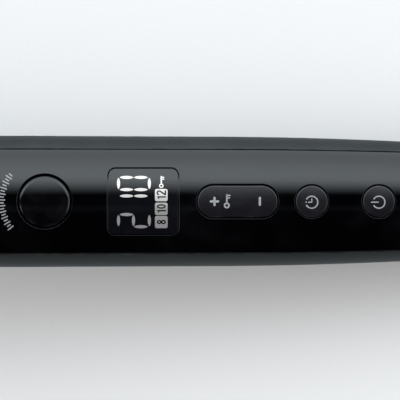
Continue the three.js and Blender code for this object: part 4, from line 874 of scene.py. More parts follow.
START = middle_and_size("start_button")
ROCKER = middle_and_size("temperature_rocker")
TIMER = middle_and_size("timer_button")
POWER = middle_and_size("power_button")
LENS = middle_and_size("display_lens", whole=True)
LENS_CORNER = 2.0
print("start", START, "rocker", ROCKER, "lens", LENS)


def disc_of(control, grow=0.0, step=0.35):
    """Outline of a round button, grown by grow."""
    return circle(control[0], control[1], control[2] / 2 + grow, step)


def slot_of_rocker(grow=0.0):
    """Outline of the rocker, a slot with round ends, grown by grow."""
    length, width = ROCKER[2] + 2 * grow, ROCKER[3] + 2 * grow
    return rounded_rectangle(*ROCKER[:2], length, width, width / 2 - 0.01, 0.4)


def window(grow=0.0):
    """Outline of the display's lens, grown by grow."""
    return rounded_rectangle(*LENS[:2], LENS[2] + 2 * grow, LENS[3] + 2 * grow, LENS_CORNER + grow, 0.5)


FLANGE_DROP, FLANGE_THICK = 3.0, 1.0
FLANGE_OUT = 0.8


def flange(outline, drop=FLANGE_DROP):
    """The hidden rim that keeps a button under the cover; it closes the groove round it from below."""
    return moulding(outline, [], over_grip(-drop), FLANGE_THICK, edge=0.2, spacing=1.5, upright="all")


# %% Control cover
cover_openings = [
    disc_of(START, BUTTON_SLACK),
    window(LENS_SLACK),
    slot_of_rocker(ROCKER_SLACK),
    disc_of(TIMER, BUTTON_SLACK),
    disc_of(POWER, BUTTON_SLACK),
]
piece("cover_shell", "handle", "gloss_cover", ["control_cover"], moulding(
    strip_outline(GRIP_START, GRIP_END, lambda x: -seam_at(x), seam_at),
    [wrapped(loop) for loop in cover_openings],
    round_grip(), WALL, edge=0.2, spacing=1.2, upright="openings",
))

# %% Lower housing
SCREW_WELL = 2.9
SCREW_HEAD = 2.6
WELL_DEEP, WELL_WALL = 2.2, 1.2
HEAD_THICK = 1.2
PLUG_RADIUS, PLUG_TOP, PLUG_FOOT = 2.2, 0.7, 1.4  # the metal below the cross, back from the head's face
screws = ["housing_screw_front", "housing_screw_rear"]
screw_places = [(low.x + high.x) / 2 for low, high in (span(node) for node in screws)]
turn_under = math.pi * GIRTH
piece("housing_shell", "handle", "satin_shell", ["lower_housing"], moulding(
    strip_outline(GRIP_START, GRIP_END, lambda x: seam_at(x, SHELL_SEAM),
                  lambda x: 2 * turn_under - seam_at(x, SHELL_SEAM)),
    [circle(x, turn_under, SCREW_WELL) for x in screw_places],
    round_grip(), WALL, edge=SEAM_EDGE, spacing=2.0,
))


# %% Screws in their wells
def screw_shapes(node, x):
    """A pan-head screw with a cross cut into it, seen from below, and the well that it sits in."""
    low, _ = span(node)
    skin = float(grip_radius(x))
    seat = -low.z
    well_floor = seat - WELL_DEEP

    def under(u, v):
        return np.stack([u, -v, low.z + 0.05 * ((u - x) ** 2 + v ** 2)], axis=1)

    arm, half = 1.5, 0.28
    cross = [(half, half), (half, arm), (-half, arm), (-half, half), (-arm, half), (-arm, -half),
             (-half, -half), (-half, -arm), (half, -arm), (half, -half), (arm, -half), (arm, half)]
    head = moulding(
        circle(x, 0, SCREW_HEAD), [[(x + a, b) for a, b in cross]], under, HEAD_THICK,
        edge=0.12, spacing=0.6, roll=0.25,
    )
    downward = axis_at((x, 0, 0), (0, 0, -1))
    foot, top = seat - PLUG_FOOT, seat - PLUG_TOP
    plug = turned([(foot, 0), (foot, PLUG_RADIUS), (top, PLUG_RADIUS), (top, 0)], downward, 32, closed=False)
    outer, inner, shank_hole = SCREW_WELL + WELL_WALL, SCREW_WELL - 0.05, 1.6
    rim = skin - 0.4
    well = turned([
        (well_floor - 1, shank_hole), (well_floor - 1, outer), (rim, outer), (rim, inner),
        (well_floor, inner), (well_floor, shank_hole),
    ], downward, 48)
    return head, plug, well


for node, x in zip(screws, screw_places):
    head, plug, well = screw_shapes(node, x)
    piece(node + "_head", "handle", "screw_steel", [node], head, plug)
    piece(node + "_well", "handle", "satin_shell", [], well)

# %% [markdown]
# ## The display
#
# The window is one smoked lens let into the cover, with lit segments behind it. A real lens is clear and the
# light comes from below it, but from above only the lit shapes show, so they are thin plates on its face
# that give off light. Each segment is pointed at both ends, as the openings of a cheap display mask are.

# %% Lens
LENS_RISE = float(span("display_lens")[1].z - grip_radius(LENS[0] - LENS[2] / 2))
LENS_THICK = 1.5
piece("lens_pane", "handle", "display_window", ["display_lens"], moulding(
    window(-0.1), [], over_grip(LENS_RISE), LENS_THICK, edge=0.12, spacing=1.2, upright="all",
), flange(window(FLANGE_OUT), WALL + 0.15))

# %% Plates with marks
PLATE = 0.03


def plate(outline, openings=(), rise=0.02, spacing=0.5):
    """A thin flat mark on the top of the grip."""
    return moulding(outline, list(openings), over_grip(rise), PLATE, edge=0.008, spacing=spacing, steps=1)


def stroke(points, width):
    """Outline of a line of even width with round ends."""
    line = [Vector(p) for p in points]
    side = []
    for i, p in enumerate(line):
        ahead = (line[min(i + 1, len(line) - 1)] - line[max(i - 1, 0)]).normalized()
        side.append(Vector((-ahead.y, ahead.x)) * width / 2)
    caps = [math.pi * k / 5 for k in range(1, 5)]
    out = [p + s for p, s in zip(line, side)]
    turn_back = Vector((side[-1].y, -side[-1].x))
    out += [line[-1] + side[-1] * math.cos(t) + turn_back * math.sin(t) for t in caps]
    out += [p - s for p, s in zip(reversed(line), reversed(side))]
    turn_on = Vector((-side[0].y, side[0].x))
    out += [line[0] - side[0] * math.cos(t) + turn_on * math.sin(t) for t in caps]
    return [tuple(p) for p in out]


def arc(cx, cy, radius, start, end, step=12):
    """Points of an arc, in degrees anticlockwise from +x."""
    count = max(2, math.ceil(abs(end - start) / step))
    turns = [math.radians(start + (end - start) * k / count) for k in range(count + 1)]
    return [(cx + radius * math.cos(t), cy + radius * math.sin(t)) for t in turns]


def segment(cx, cy, length, width, crosswise=False):
    """Outline of a lens-shaped display segment, lying along x or y."""
    half = [-math.cos(math.pi * k / 12) for k in range(13)]
    rim = [(t * length / 2, width / 2 * (1 - t * t) ** 0.62) for t in half]
    loop = rim + [(x, -y) for x, y in reversed(rim[1:-1])]
    return [(cx + y, cy + x) if crosswise else (cx + x, cy + y) for x, y in loop]


# %% Digits
DIGIT_TOP = -6.75  # the digits' tops, along x from the window's middle; they read from -y to +y
DIGIT_HEIGHT = 8.4
DIGIT_WIDTH = 3.32
DIGIT_PITCH = 5.06
DIGIT_FIRST = -6.9
SEGMENT_WIDTH = 0.86
SEGMENT_LENGTH = 3.0
SEGMENT_JOINT = 0.5  # left free between the ends of two upright segments
SEGMENT_INSET = 0.3
MIDDLE_LIFT = 0.12  # the crossbar sits this much above the figure's middle
SEGMENTS_LIT = {"0": "abcdef", "1": "bc", "2": "abged"}
READING = "210"


def digit(figure, start):
    """The lit segments of one figure whose left side lies at y = start."""
    x0, x1 = LENS[0] + DIGIT_TOP, LENS[0] + DIGIT_TOP + DIGIT_HEIGHT
    middle = (x0 + x1) / 2 - MIDDLE_LIFT
    left, right = start, start + DIGIT_WIDTH
    upper, lower = (x0 + SEGMENT_INSET + middle) / 2, (middle + x1 - SEGMENT_INSET) / 2
    upright_length = DIGIT_HEIGHT / 2 - SEGMENT_JOINT
    places = {
        "a": (x0, (left + right) / 2, SEGMENT_LENGTH, True),
        "g": (middle, (left + right) / 2, SEGMENT_LENGTH, True),
        "d": (x1, (left + right) / 2, SEGMENT_LENGTH, True),
        "b": (upper, right, upright_length, False),
        "f": (upper, left, upright_length, False),
        "c": (lower, right, upright_length, False),
        "e": (lower, left, upright_length, False),
    }
    chosen = [places[key] for key in SEGMENTS_LIT[figure]]
    return [plate(segment(x, y, length, SEGMENT_WIDTH, flat), spacing=0.6) for x, y, length, flat in chosen]


digits = [shape for i, figure in enumerate(READING) for shape in digit(figure, DIGIT_FIRST + DIGIT_PITCH * i)]
piece("display_digits", "handle", "display_light", [], *digits)

# %% Key and timer boxes
BOX_X = 4.9
BOX_LENGTH, BOX_WIDTH = 3.45, 3.35
BOX_ROWS = {"8": -5.62, "10": -2.02, "12": 1.72}
FIGURE_STROKE = 0.38
box_x = LENS[0] + BOX_X


def key_icon(x, y, size, up):
    """A small key: a ring and a toothed stem that runs towards up times +y."""
    ring = 0.2 * size
    stem = [(x, y - up * (size / 2 - 2 * ring)), (x, y + up * size / 2)]
    low = y - up * (size / 2 - ring)
    shapes = [plate(circle(x, low, ring, 0.12), [circle(x, low, ring * 0.45, 0.1)], spacing=0.3)]
    shapes.append(plate(stroke(stem, 0.13 * size), spacing=0.3))
    for share in (0.28, 0.44):
        tooth = y + up * share * size
        shapes.append(plate(stroke([(x, tooth), (x + 0.22 * size, tooth)], 0.1 * size), spacing=0.3))
    return shapes


def figure_shapes(text, x, y, height):
    """Plain figures for a box, reading towards +y with their tops towards -x."""
    pitch = 0.56 * height
    shapes = []
    for i, mark in enumerate(text):
        middle = y + pitch * (i - (len(text) - 1) / 2)

        def spot(right, up):
            """A place in the figure's own right and up, in half heights."""
            return (x - up * height / 2, middle + right * height / 2)

        def oval(up, half, tall):
            """A closed ring of a figure."""
            turns = np.radians(range(0, 360, 20))
            rims = [
                [spot((half + grow) * math.cos(t), up + (tall + grow) * math.sin(t)) for t in turns]
                for grow in (FIGURE_STROKE / height, -FIGURE_STROKE / height)
            ]
            return plate(rims[0], [rims[1]], rise=0.035, spacing=0.4)

        def line(*spots):
            """An open stroke of a figure."""
            return plate(stroke([spot(*s) for s in spots], FIGURE_STROKE), rise=0.035, spacing=0.4)

        if mark == "1":
            shapes.append(line((-0.2, 0.62), (0.12, 0.98), (0.12, -1)))
        elif mark == "2":
            turns = np.radians([165, 130, 90, 50, 10, -25])
            bow = [(0.42 * math.cos(t), 0.52 + 0.46 * math.sin(t)) for t in turns]
            shapes += [line(*bow, (-0.42, -0.92)), line((-0.42, -0.98), (0.46, -0.98))]
        elif mark == "0":
            shapes.append(oval(0, 0.38, 0.9))
        else:
            shapes += [oval(0.5, 0.33, 0.4), oval(-0.5, 0.36, 0.44)]
    return shapes


boxes = [plate(rounded_rectangle(box_x, y, BOX_LENGTH, BOX_WIDTH, 0.5, 0.3)) for y in BOX_ROWS.values()]
piece("display_boxes", "handle", "display_light", [], *boxes, *key_icon(box_x, 5.2, 3.1, 1))
figures = [shape for text, y in BOX_ROWS.items() for shape in figure_shapes(text, box_x, y, 2.3)]
piece("box_figures", "handle", "display_window", [], *figures)

# %% [markdown]
# ## Buttons
#
# The start button is a gloss pillow: it follows the cover in the middle and rolls down all round, so its rim
# picks up a bright crescent. The rocker and the two small buttons are flush, a little rougher and faintly
# violet. Their sides go straight down, because they travel that way.

# %% Button caps
BUTTON_RISE = 0.15
CAP_DEEP = FLANGE_DROP + BUTTON_RISE
START_INSET = 0.18  # the cap is a little smaller than its hole, which leaves a dark groove


def cap(outline, edge, roll, spacing, steps=4):
    """The visible top of a button: a rounded rim over sides that go straight down."""
    return moulding(outline, [], over_grip(BUTTON_RISE), CAP_DEEP, edge, spacing, steps, roll, upright="all")


start_top = cap(disc_of(START, -START_INSET), edge=1.0, roll=0.8, spacing=0.9, steps=7)
start_rim = flange(disc_of(START, FLANGE_OUT))
piece("start_cap", "start_key", "gloss_button", ["start_button"], start_top, start_rim)
rocker_top = cap(slot_of_rocker(), edge=0.32, roll=0.28, spacing=1.0)
rocker_rim = flange(slot_of_rocker(FLANGE_OUT))
piece("rocker_cap", "temperature_key", "tinted_button", ["temperature_rocker"], rocker_top, rocker_rim)
for name, control in (("timer", TIMER), ("power", POWER)):
    top = cap(disc_of(control), edge=0.32, roll=0.28, spacing=0.8)
    rim = flange(disc_of(control, FLANGE_OUT))
    piece(name + "_cap", name + "_key", "tinted_button", [name + "_button"], top, rim)

# %% Marks on the buttons
MARK_RISE = BUTTON_RISE + 0.02
LINE = 0.34


def mark(outline, openings=()):
    """A printed mark on a button."""
    return plate(outline, openings, rise=MARK_RISE, spacing=0.4)


PLUS_X, KEY_X, MINUS_X = -6.3, -2.95, 6.05
rocker_x = ROCKER[0]
PLUS_ARM, MINUS_HALF = 0.98, 0.95
BOLD = 0.62
KEY_LOW, KEY_TOP = -1.1, 1.8
KEY_RING, KEY_HOLE = 0.82, 0.4
KEY_STEM, KEY_TOOTH = 0.42, 0.36
plus_x, minus_x, key_x = rocker_x + PLUS_X, rocker_x + MINUS_X, rocker_x + KEY_X
rocker_marks = [
    mark(stroke([(plus_x - PLUS_ARM, 0), (plus_x + PLUS_ARM, 0)], BOLD)),
    mark(stroke([(plus_x, BOLD / 2), (plus_x, PLUS_ARM)], BOLD)),
    mark(stroke([(plus_x, -PLUS_ARM), (plus_x, -BOLD / 2)], BOLD)),
    mark(stroke([(minus_x, -MINUS_HALF), (minus_x, MINUS_HALF)], BOLD)),
    mark(circle(key_x, KEY_LOW, KEY_RING, 0.2), [circle(key_x, KEY_LOW, KEY_HOLE, 0.16)]),
    mark(stroke([(key_x, KEY_LOW + 0.7), (key_x, KEY_TOP)], KEY_STEM)),
]
for tooth_y, tooth_length in ((1.62, 0.85), (0.95, 0.7)):
    rocker_marks.append(mark(stroke([(key_x, tooth_y), (key_x + tooth_length, tooth_y)], KEY_TOOTH)))
piece("rocker_marks", "temperature_key", "printed_marks", [], *rocker_marks)
RING = 1.64
MARK_LOW = -0.22
timer_marks = [
    mark(stroke(arc(TIMER[0], MARK_LOW, RING, -148, 148), LINE)),
    mark(stroke([(TIMER[0] - 1.55, MARK_LOW), (TIMER[0] - 1.5, MARK_LOW)], LINE)),
    mark(stroke([(TIMER[0] - 0.85, MARK_LOW), (TIMER[0], MARK_LOW), (TIMER[0], MARK_LOW + 0.85)], LINE)),
]
piece("timer_marks", "timer_key", "printed_marks", [], *timer_marks)
power_marks = [
    mark(stroke(arc(POWER[0], MARK_LOW, RING, -145, 145), LINE)),
    mark(stroke([(POWER[0] - RING - 0.35, MARK_LOW), (POWER[0] - 0.2, MARK_LOW)], LINE)),
]
piece("power_marks", "power_key", "printed_marks", [], *power_marks)

# %% Ticks round the start button
TICK_RADIUS = 11.75
TICK_HALF_HEIGHT = 0.85
TICK_TURNS = range(-38, 39, 4)
ticks = []
for number, turn in enumerate(TICK_TURNS):
    radial = Vector((-math.cos(math.radians(turn)), math.sin(math.radians(turn))))
    centre = Vector(START[:2]) + radial * TICK_RADIUS
    half = TICK_HALF_HEIGHT * (1.0 if number % 2 == 0 else 0.55)
    ticks.append(plate(stroke([centre - radial * half, centre + radial * half], LINE), spacing=0.4))
piece("start_ticks", "handle", "printed_marks", [], *ticks)

# %% [markdown]
# ## Barrel, collar and rear end
#
# These are round, so each is a profile turned about the handle's axis. The profile's long stretches are
# measured off the frame; only the small corner radii are new. A collar is satin plastic, the barrel has a
# ceramic coating over aluminium, and the tip stays cool, so it is plastic again.

# %% Measured profiles
def radius_near(node, x, outer=True):
    """Outer or inner radius of a turned node near a section."""
    found = node_points(node)
    radii = np.hypot(found[:, 1], found[:, 2])[np.abs(found[:, 0] - x) < 0.15]
    return float(radii.max() if outer else radii.min())


# %% Barrel and tip
GAP = 0.3  # between two neighbouring parts
barrel_low, barrel_high = span("barrel_tube")
BARREL = radius_near("barrel_tube", barrel_low.x)
barrel_bore = radius_near("barrel_tube", barrel_low.x, outer=False)
piece("barrel_skin", "handle", "barrel_coating", ["barrel_tube"], turned([
    (barrel_low.x, barrel_bore), (barrel_low.x, BARREL, 0.35),
    (barrel_high.x, BARREL), (barrel_high.x, barrel_bore),
], segments=128))

bush_low, bush_high = span("tip_bush")
BUSH_FLANGE = 2.0
flange_high = barrel_low.x - GAP
flange_low = flange_high - BUSH_FLANGE
bush_outer = barrel_bore - GAP
spigot = radius_near("tip_bush", bush_low.x)
bush_bore = radius_near("tip_bush", bush_low.x, outer=False)
piece("tip_bush_ring", "handle", "pale_plastic", ["tip_bush"], turned([
    (bush_low.x, bush_bore), (bush_low.x, spigot), (flange_low, spigot), (flange_low, BARREL, 0.3),
    (flange_high, BARREL, 0.3), (flange_high, bush_outer),
    (bush_high.x, bush_outer), (bush_high.x, bush_bore),
]))

TIP_FULLNESS = 2.6
TIP_WALL = 2.0
GROOVE, GROOVED_LENGTH = 0.22, 9.0
TIP_STEPS, TIP_CROWDING = 26, 1.9  # the profile's points crowd together towards the nose
tip_low, tip_high = span("tip_cap")
tip_length = tip_high.x - tip_low.x


def tip_radius(share):
    """Outer radius of the cool tip, from its open end (0) to its nose (1)."""
    return BARREL * math.sqrt(max(0.0, 1 - share ** TIP_FULLNESS))


tip_shares = [1 - (1 - k / TIP_STEPS) ** TIP_CROWDING for k in range(TIP_STEPS + 1)]
tip_outer = [(tip_high.x - tip_length * s, tip_radius(s)) for s in reversed(tip_shares)]
inner_length, inner_share = tip_length - TIP_WALL, 1 - TIP_WALL / BARREL
tip_inner = [(tip_high.x - inner_length * s, tip_radius(s) * inner_share) for s in tip_shares]
grip_rings = []
for place, (x, r) in enumerate(tip_outer):
    deep = GROOVE if tip_high.x - x < GROOVED_LENGTH and place % 2 else 0.0
    grip_rings.append((x, r - deep, 0.1))
piece("cool_tip", "handle", "heat_plastic", ["tip_cap"], turned(grip_rings + tip_inner, closed=False))

# %% Collar and trim ring
collar_low, collar_high = span("front_collar")
trim_low, trim_high = span("collar_trim_ring")
nose = radius_near("front_collar", collar_low.x)
collar_bore = radius_near("front_collar", collar_low.x, outer=False)
collar_end = trim_low.x - GAP
shoulder = radius_near("collar_trim_ring", trim_low.x)
trim_bore = radius_near("collar_trim_ring", trim_low.x, outer=False)


def collar_radius(x):
    """Radius of the collar's cone."""
    return nose + (shoulder - nose) * (x - collar_low.x) / (collar_end - collar_low.x)


RING_GROOVE_X = collar_low.x + 2.2
RING_GROOVE_DEEP = 0.3
RING_GROOVE_WIDE = 1.1
SPIGOT_WALL = 1.6
groove_floor = collar_radius(RING_GROOVE_X) - RING_GROOVE_DEEP
groove_end = RING_GROOVE_X + RING_GROOVE_WIDE
spigot_radius = trim_bore - GAP
collar_shape = turned([
    (collar_low.x, collar_bore), (collar_low.x, nose, 0.5),
    (RING_GROOVE_X, collar_radius(RING_GROOVE_X), 0.1), (RING_GROOVE_X + RING_GROOVE_DEEP, groove_floor, 0.1),
    (groove_end - RING_GROOVE_DEEP, groove_floor, 0.1), (groove_end, collar_radius(groove_end), 0.1),
    (collar_end, shoulder, 0.35), (collar_end, spigot_radius), (collar_high.x, spigot_radius, 0.3),
    (collar_high.x, spigot_radius - SPIGOT_WALL), (collar_end, collar_bore),
], segments=128)
piece("trim_ring", "handle", "bright_metal", ["collar_trim_ring"], turned([
    (trim_low.x, trim_bore), (trim_low.x, shoulder, 0.3),
    (trim_high.x, shoulder, 0.3), (trim_high.x, trim_bore),
], segments=128))


# %% Lugs of the collar
def sideways_plate(outline, openings, y_low, thick, edge=0.3):
    """A plate that stands along the handle: its outline is in (x, z) and its thickness along y."""
    def at(u, v):
        return np.stack([u, np.full_like(u, y_low), v], axis=1)
    return moulding(outline, openings, at, thick, edge=edge, spacing=1.0)


def both_sides(make, near, far):
    """Shapes made by make(y_low, thick) on both sides of the handle, between near and far from its middle."""
    return [make(near, far - near), make(-far, far - near)]


def in_joint(name):
    """A joint's place in the handle's millimetres."""
    return in_handle(joints[name]["pos_m"])


stand_pin = in_joint("stand_hinge")
STAND_PIN = 1.25
PIN_SLACK = 0.15
LUG_NEAR, LUG_FAR = 5.2, 8.0
LUG_EYE = 3.05


def lug(y_low, thick):
    """One ear for the stand's pin: round below and running up into the collar."""
    top = -collar_bore
    below = arc(stand_pin.x, stand_pin.z, LUG_EYE, 180, 360, 10)
    outline = resampled(below + [(stand_pin.x + LUG_EYE, top), (stand_pin.x - LUG_EYE, top)], 0.6)
    hole = circle(stand_pin.x, stand_pin.z, STAND_PIN + PIN_SLACK, 0.3)
    return sideways_plate(outline, [hole], y_low, thick, 0.35)


lugs = both_sides(lug, LUG_NEAR, LUG_FAR)
piece("collar_body", "handle", "satin_shell", ["front_collar"], collar_shape, *lugs)

# %% End cap
cap_low, cap_high = span("rear_end_cap")
cap_start = GRIP_END + GAP
cap_edge = 3.0
cap_rim = radius_near("rear_end_cap", cap_high.x - cap_edge) - 0.02
cap_hole = radius_near("rear_end_cap", cap_high.x, outer=False)
cap_inside = radius_near("rear_end_cap", cap_low.x, outer=False)
cap_spigot = radius_near("rear_end_cap", cap_low.x)
CAP_WALL = 4.5
middle_cap = (cap_start + cap_high.x - cap_edge) / 2
middle_radius = radius_near("rear_end_cap", cap_start) * 0.5 + cap_rim * 0.5 + 0.02
piece("end_cap", "handle", "satin_shell", ["rear_end_cap"], turned([
    (cap_low.x, cap_inside), (cap_low.x, cap_spigot, 0.3), (cap_start, cap_spigot),
    (cap_start, radius_near("rear_end_cap", cap_start), 0.25), (middle_cap, middle_radius, 30),
    (cap_high.x, cap_rim - 0.35, 2.6), (cap_high.x, cap_hole, 0.35), (cap_high.x - CAP_WALL, cap_hole),
    (cap_high.x - CAP_WALL, cap_inside),
], segments=128))

# %% Swivelling cord outlet
swivel_low, swivel_high = span("cord_swivel")
BOSS_OUT = 1.9
BOSS_LENGTH = 3.0
outlet_start = cap_high.x + GAP
outlet = radius_near("cord_swivel", outlet_start)
boss = outlet if outlet > cap_hole else outlet + BOSS_OUT
neck = cap_hole - GAP
bore = radius_near("cord_swivel", swivel_high.x, outer=False)
swivel_disc = radius_near("cord_swivel", swivel_low.x)
disc_end = cap_high.x - CAP_WALL - GAP
gland = [
    (swivel_low.x, bore), (swivel_low.x, swivel_disc), (disc_end, swivel_disc), (disc_end, neck),
    (outlet_start, neck), (outlet_start, boss, 0.4), (outlet_start + BOSS_LENGTH, boss, 0.5),
]
RIBS = 4
RIB_DROP = 0.55  # the first rib lies this much below the boss
RIB_SHAPE = ((0.0, 0.0, 0.2), (0.55, 0.1, 0.2), (0.62, 0.6, 0.15), (0.93, 0.65, 0.15))  # share, drop, corner
rib_start, rib_end = cap_high.x + 4.2, swivel_high.x - 1.4
rib_width = (rib_end - rib_start) / RIBS
for number in range(RIBS):
    rib_x = rib_start + (rib_end - rib_start) * number / RIBS
    rib_r = boss - RIB_DROP - (boss - RIB_DROP - neck) * (number / RIBS)
    gland += [(rib_x + share * rib_width, rib_r - drop, corner) for share, drop, corner in RIB_SHAPE]
gland += [(swivel_high.x - 1.0, neck - 0.35, 0.3), (swivel_high.x, neck - 0.8, 0.4)]
gland.append((swivel_high.x, bore, 0.3))
piece("cord_gland", "cord_outlet", "swivel_plastic", ["cord_swivel"], turned(gland, closed=True))

# %% [markdown]
# ## The clamp
#
# The spoon is one pressed sheet: it follows the barrel's curve, narrows behind it, climbs over the collar as
# a flat tongue and carries the thumb lever. A surface that is round in front and flat behind does the whole
# sheet in one go, with no joint between spoon and tongue, as pressing does.

# %% Spoon and tongue
clamp_pin = in_joint("clamp_hinge")
spoon_low, spoon_high = span("clamp_spoon")
SHEET = 0.9
SPOON_RADIUS = BARREL + GAP + SHEET
SPOON_HALF = SPOON_RADIUS * math.radians(50)
SPOON_REAR = -15
TONGUE_HALF = 6.5
TONGUE_OVER_PIN = 4.85  # from the pin's axis to the top of the tongue
SPOON_FRONT, FRONT_STEPS = 4.0, 8  # the length of the rounded front end, and the steps along it


def lever_slope():
    """Slope of the tongue under the lever, from the lever's flat underside."""
    mesh = frame["nodes"]["thumb_lever"].data
    turn = np.array(HANDLE.to_3x3().inverted())
    faces = [(turn @ np.array(p.normal), p.area) for p in mesh.polygons]
    under = sum((n * area for n, area in faces if n[2] < -0.9), np.zeros(3))
    return math.atan2(under[0], -under[2])


LEVER_SLOPE = lever_slope()
tongue_top = clamp_pin.z + TONGUE_OVER_PIN
tongue_end = spoon_high.x - 0.2
sheet_path = [
    (spoon_low.x, SPOON_RADIUS), (-26, SPOON_RADIUS), (-20, SPOON_RADIUS + 0.1), (-15.5, SPOON_RADIUS + 0.75),
    (-13.2, SPOON_RADIUS + 1.95), (-10, SPOON_RADIUS + 4.0), (clamp_pin.x - 4, tongue_top - 1.15),
    (clamp_pin.x - 1, tongue_top), (clamp_pin.x + 2, tongue_top + 2 * math.tan(LEVER_SLOPE)),
    (tongue_end, tongue_top + (tongue_end - clamp_pin.x) * math.tan(LEVER_SLOPE)),
]
sheet_line = smooth_curve(*np.array(sheet_path).T)
print("lever rises", round(math.degrees(LEVER_SLOPE), 1), "degrees; tongue ends at", round(tongue_end, 1))


def soft_step(x, low, high):
    """0 below low, 1 above high and smooth between, for arrays too."""
    t = np.clip((x - low) / (high - low), 0, 1)
    return t * t * (3 - 2 * t)


def clamp_sheet(u, v):
    """Top of the sheet: u along the handle, v across it measured along the sheet."""
    flat = soft_step(u, SPOON_REAR - 6, SPOON_REAR + 6)
    turn = v / SPOON_RADIUS
    y = v * flat + SPOON_RADIUS * np.sin(turn) * (1 - flat)
    drop = SPOON_RADIUS * (1 - np.cos(turn)) * (1 - flat)
    return np.stack([u, y, sheet_line(u) - drop], axis=1)


def sheet_half(x):
    """Half the sheet's width along x."""
    into = min(1.0, max(0.0, (x - spoon_low.x) / SPOON_FRONT))
    rounding = SPOON_FRONT * (1 - math.sqrt(1 - (1 - into) ** 2))
    narrowed = float(soft_step(x, SPOON_REAR - 5.5, SPOON_REAR + 2.5))
    wide = SPOON_HALF - (SPOON_HALF - TONGUE_HALF) * narrowed
    return wide - rounding


front_turns = [math.pi / 2 * k / FRONT_STEPS for k in range(FRONT_STEPS + 1)]
sheet_xs = [spoon_low.x + SPOON_FRONT * (1 - math.cos(turn)) for turn in front_turns]
sheet_xs += list(np.arange(spoon_low.x + 6, SPOON_REAR - 7, 2.0))
sheet_xs += list(np.arange(SPOON_REAR - 6, tongue_end - 0.5, 0.8))
sheet_xs.append(tongue_end)
right_side = [(x, -sheet_half(x)) for x in sheet_xs]
left_side = [(x, sheet_half(x)) for x in reversed(sheet_xs)]
sheet_outline = resampled(right_side + left_side, 1.2)

# %% Knuckle under the tongue
KNUCKLE, KNUCKLE_HALF = 2.7, 1.9
PIN = 1.5
WEB_FOOT_HALF, WEB_TOP_HALF = 2.6, 2.3
web_foot = clamp_pin.z + 1.9
knuckle = turned([
    (-KNUCKLE_HALF, PIN + PIN_SLACK), (-KNUCKLE_HALF, KNUCKLE, 0.25), (KNUCKLE_HALF, KNUCKLE, 0.25),
    (KNUCKLE_HALF, PIN + PIN_SLACK),
], axis_at(clamp_pin, (0, 1, 0)), 48)
web = sideways_plate([
    (clamp_pin.x - WEB_FOOT_HALF, web_foot), (clamp_pin.x + WEB_FOOT_HALF, web_foot),
    (clamp_pin.x + WEB_TOP_HALF, tongue_top - 0.5), (clamp_pin.x - WEB_TOP_HALF, tongue_top - 0.9),
], [], -KNUCKLE_HALF, 2 * KNUCKLE_HALF)
sheet = moulding(sheet_outline, [], clamp_sheet, SHEET, edge=0.25, spacing=1.6)
piece("clamp_sheet", "clamp", "clamp_metal", ["clamp_spoon"], sheet, knuckle, web)

# %% [markdown]
# ## The thumb lever
#
# A plastic paddle, riveted to the tongue, with a shallow hollow for the thumb and four low ridges across it.
# Its outline is laid out flat, and the hollow is part of the surface that it is bent over.

# %% Lever
LEVER_THICK = 3.0
LEVER_FRONT, LEVER_REACH, LEVER_HALF = 6.0, 32.0, 8.5
DISH_MIDDLE, DISH_RADIUS, DISH_DEPTH = 21.0, 45.0, 1.0
RIDGES = (16.5, 19.0, 21.5, 24.0)
RIDGE_HALF, RIDGE_HIGH, RIDGE_REACH = 0.65, 0.28, 6.2
lean = Vector((math.cos(LEVER_SLOPE), 0, math.sin(LEVER_SLOPE)))
rise = Vector((-math.sin(LEVER_SLOPE), 0, math.cos(LEVER_SLOPE)))
TONGUE_MIDDLE = 4.05  # above the pin
TONGUE_TO_LEVER = 1.1
lever_base = Vector((clamp_pin.x, 0, clamp_pin.z + TONGUE_MIDDLE)) + rise * TONGUE_TO_LEVER


def lever_top(u, v):
    """Top of the lever: u along it from the pin, v across it."""
    hollow = DISH_RADIUS - DISH_DEPTH - np.sqrt(DISH_RADIUS ** 2 - (u - DISH_MIDDLE) ** 2)
    sag = np.clip(hollow, -DISH_DEPTH, 0)
    sag = sag * soft_step(LEVER_HALF - np.abs(v), 0.8, 4.0)
    height = LEVER_THICK + sag
    for ridge in RIDGES:
        near = np.clip(1 - np.abs(u - ridge) / RIDGE_HALF, 0, 1)
        bump = near * near * (3 - 2 * near)
        height = height + RIDGE_HIGH * bump * soft_step(RIDGE_REACH - np.abs(v), 0, 1.2)
    level = np.array(lever_base) + u[:, None] * np.array(lean) + v[:, None] * np.array([[0, 1.0, 0]])
    return level + height[:, None] * np.array(rise)


tip_middle = LEVER_REACH - LEVER_HALF
lever_outline = [(LEVER_FRONT, TONGUE_HALF), (LEVER_FRONT, -TONGUE_HALF)]
lever_outline += arc(tip_middle, 0, LEVER_HALF, -88, 88, 8)
rivet_xs = [LEVER_FRONT + 5.0, LEVER_FRONT + 16.0]
RIVET_HOLE = 1.4
piece("thumb_paddle", "clamp", "satin_shell", ["thumb_lever"], moulding(
    resampled(lever_outline, 0.8), [circle(x, 0, RIVET_HOLE, 0.3) for x in rivet_xs], lever_top, LEVER_THICK,
    edge=0.5, spacing=0.55,
))
for node, along_lever in zip(("lever_rivet_front", "lever_rivet_rear"), rivet_xs):
    foot = lever_base + lean * along_lever
    upwards = axis_at(foot, rise)
    piece(node + "_turned", "clamp", "bright_metal", [node], turned([
        (-3.0, 0), (-2.95, 1.5, 0.3), (-2.5, 2.1, 0.2), (-2.2, 2.1, 0.1), (-2.2, 1.2),
        (1.3, 1.2, 0.3), (1.4, 0),
    ], upwards, 40, closed=False))

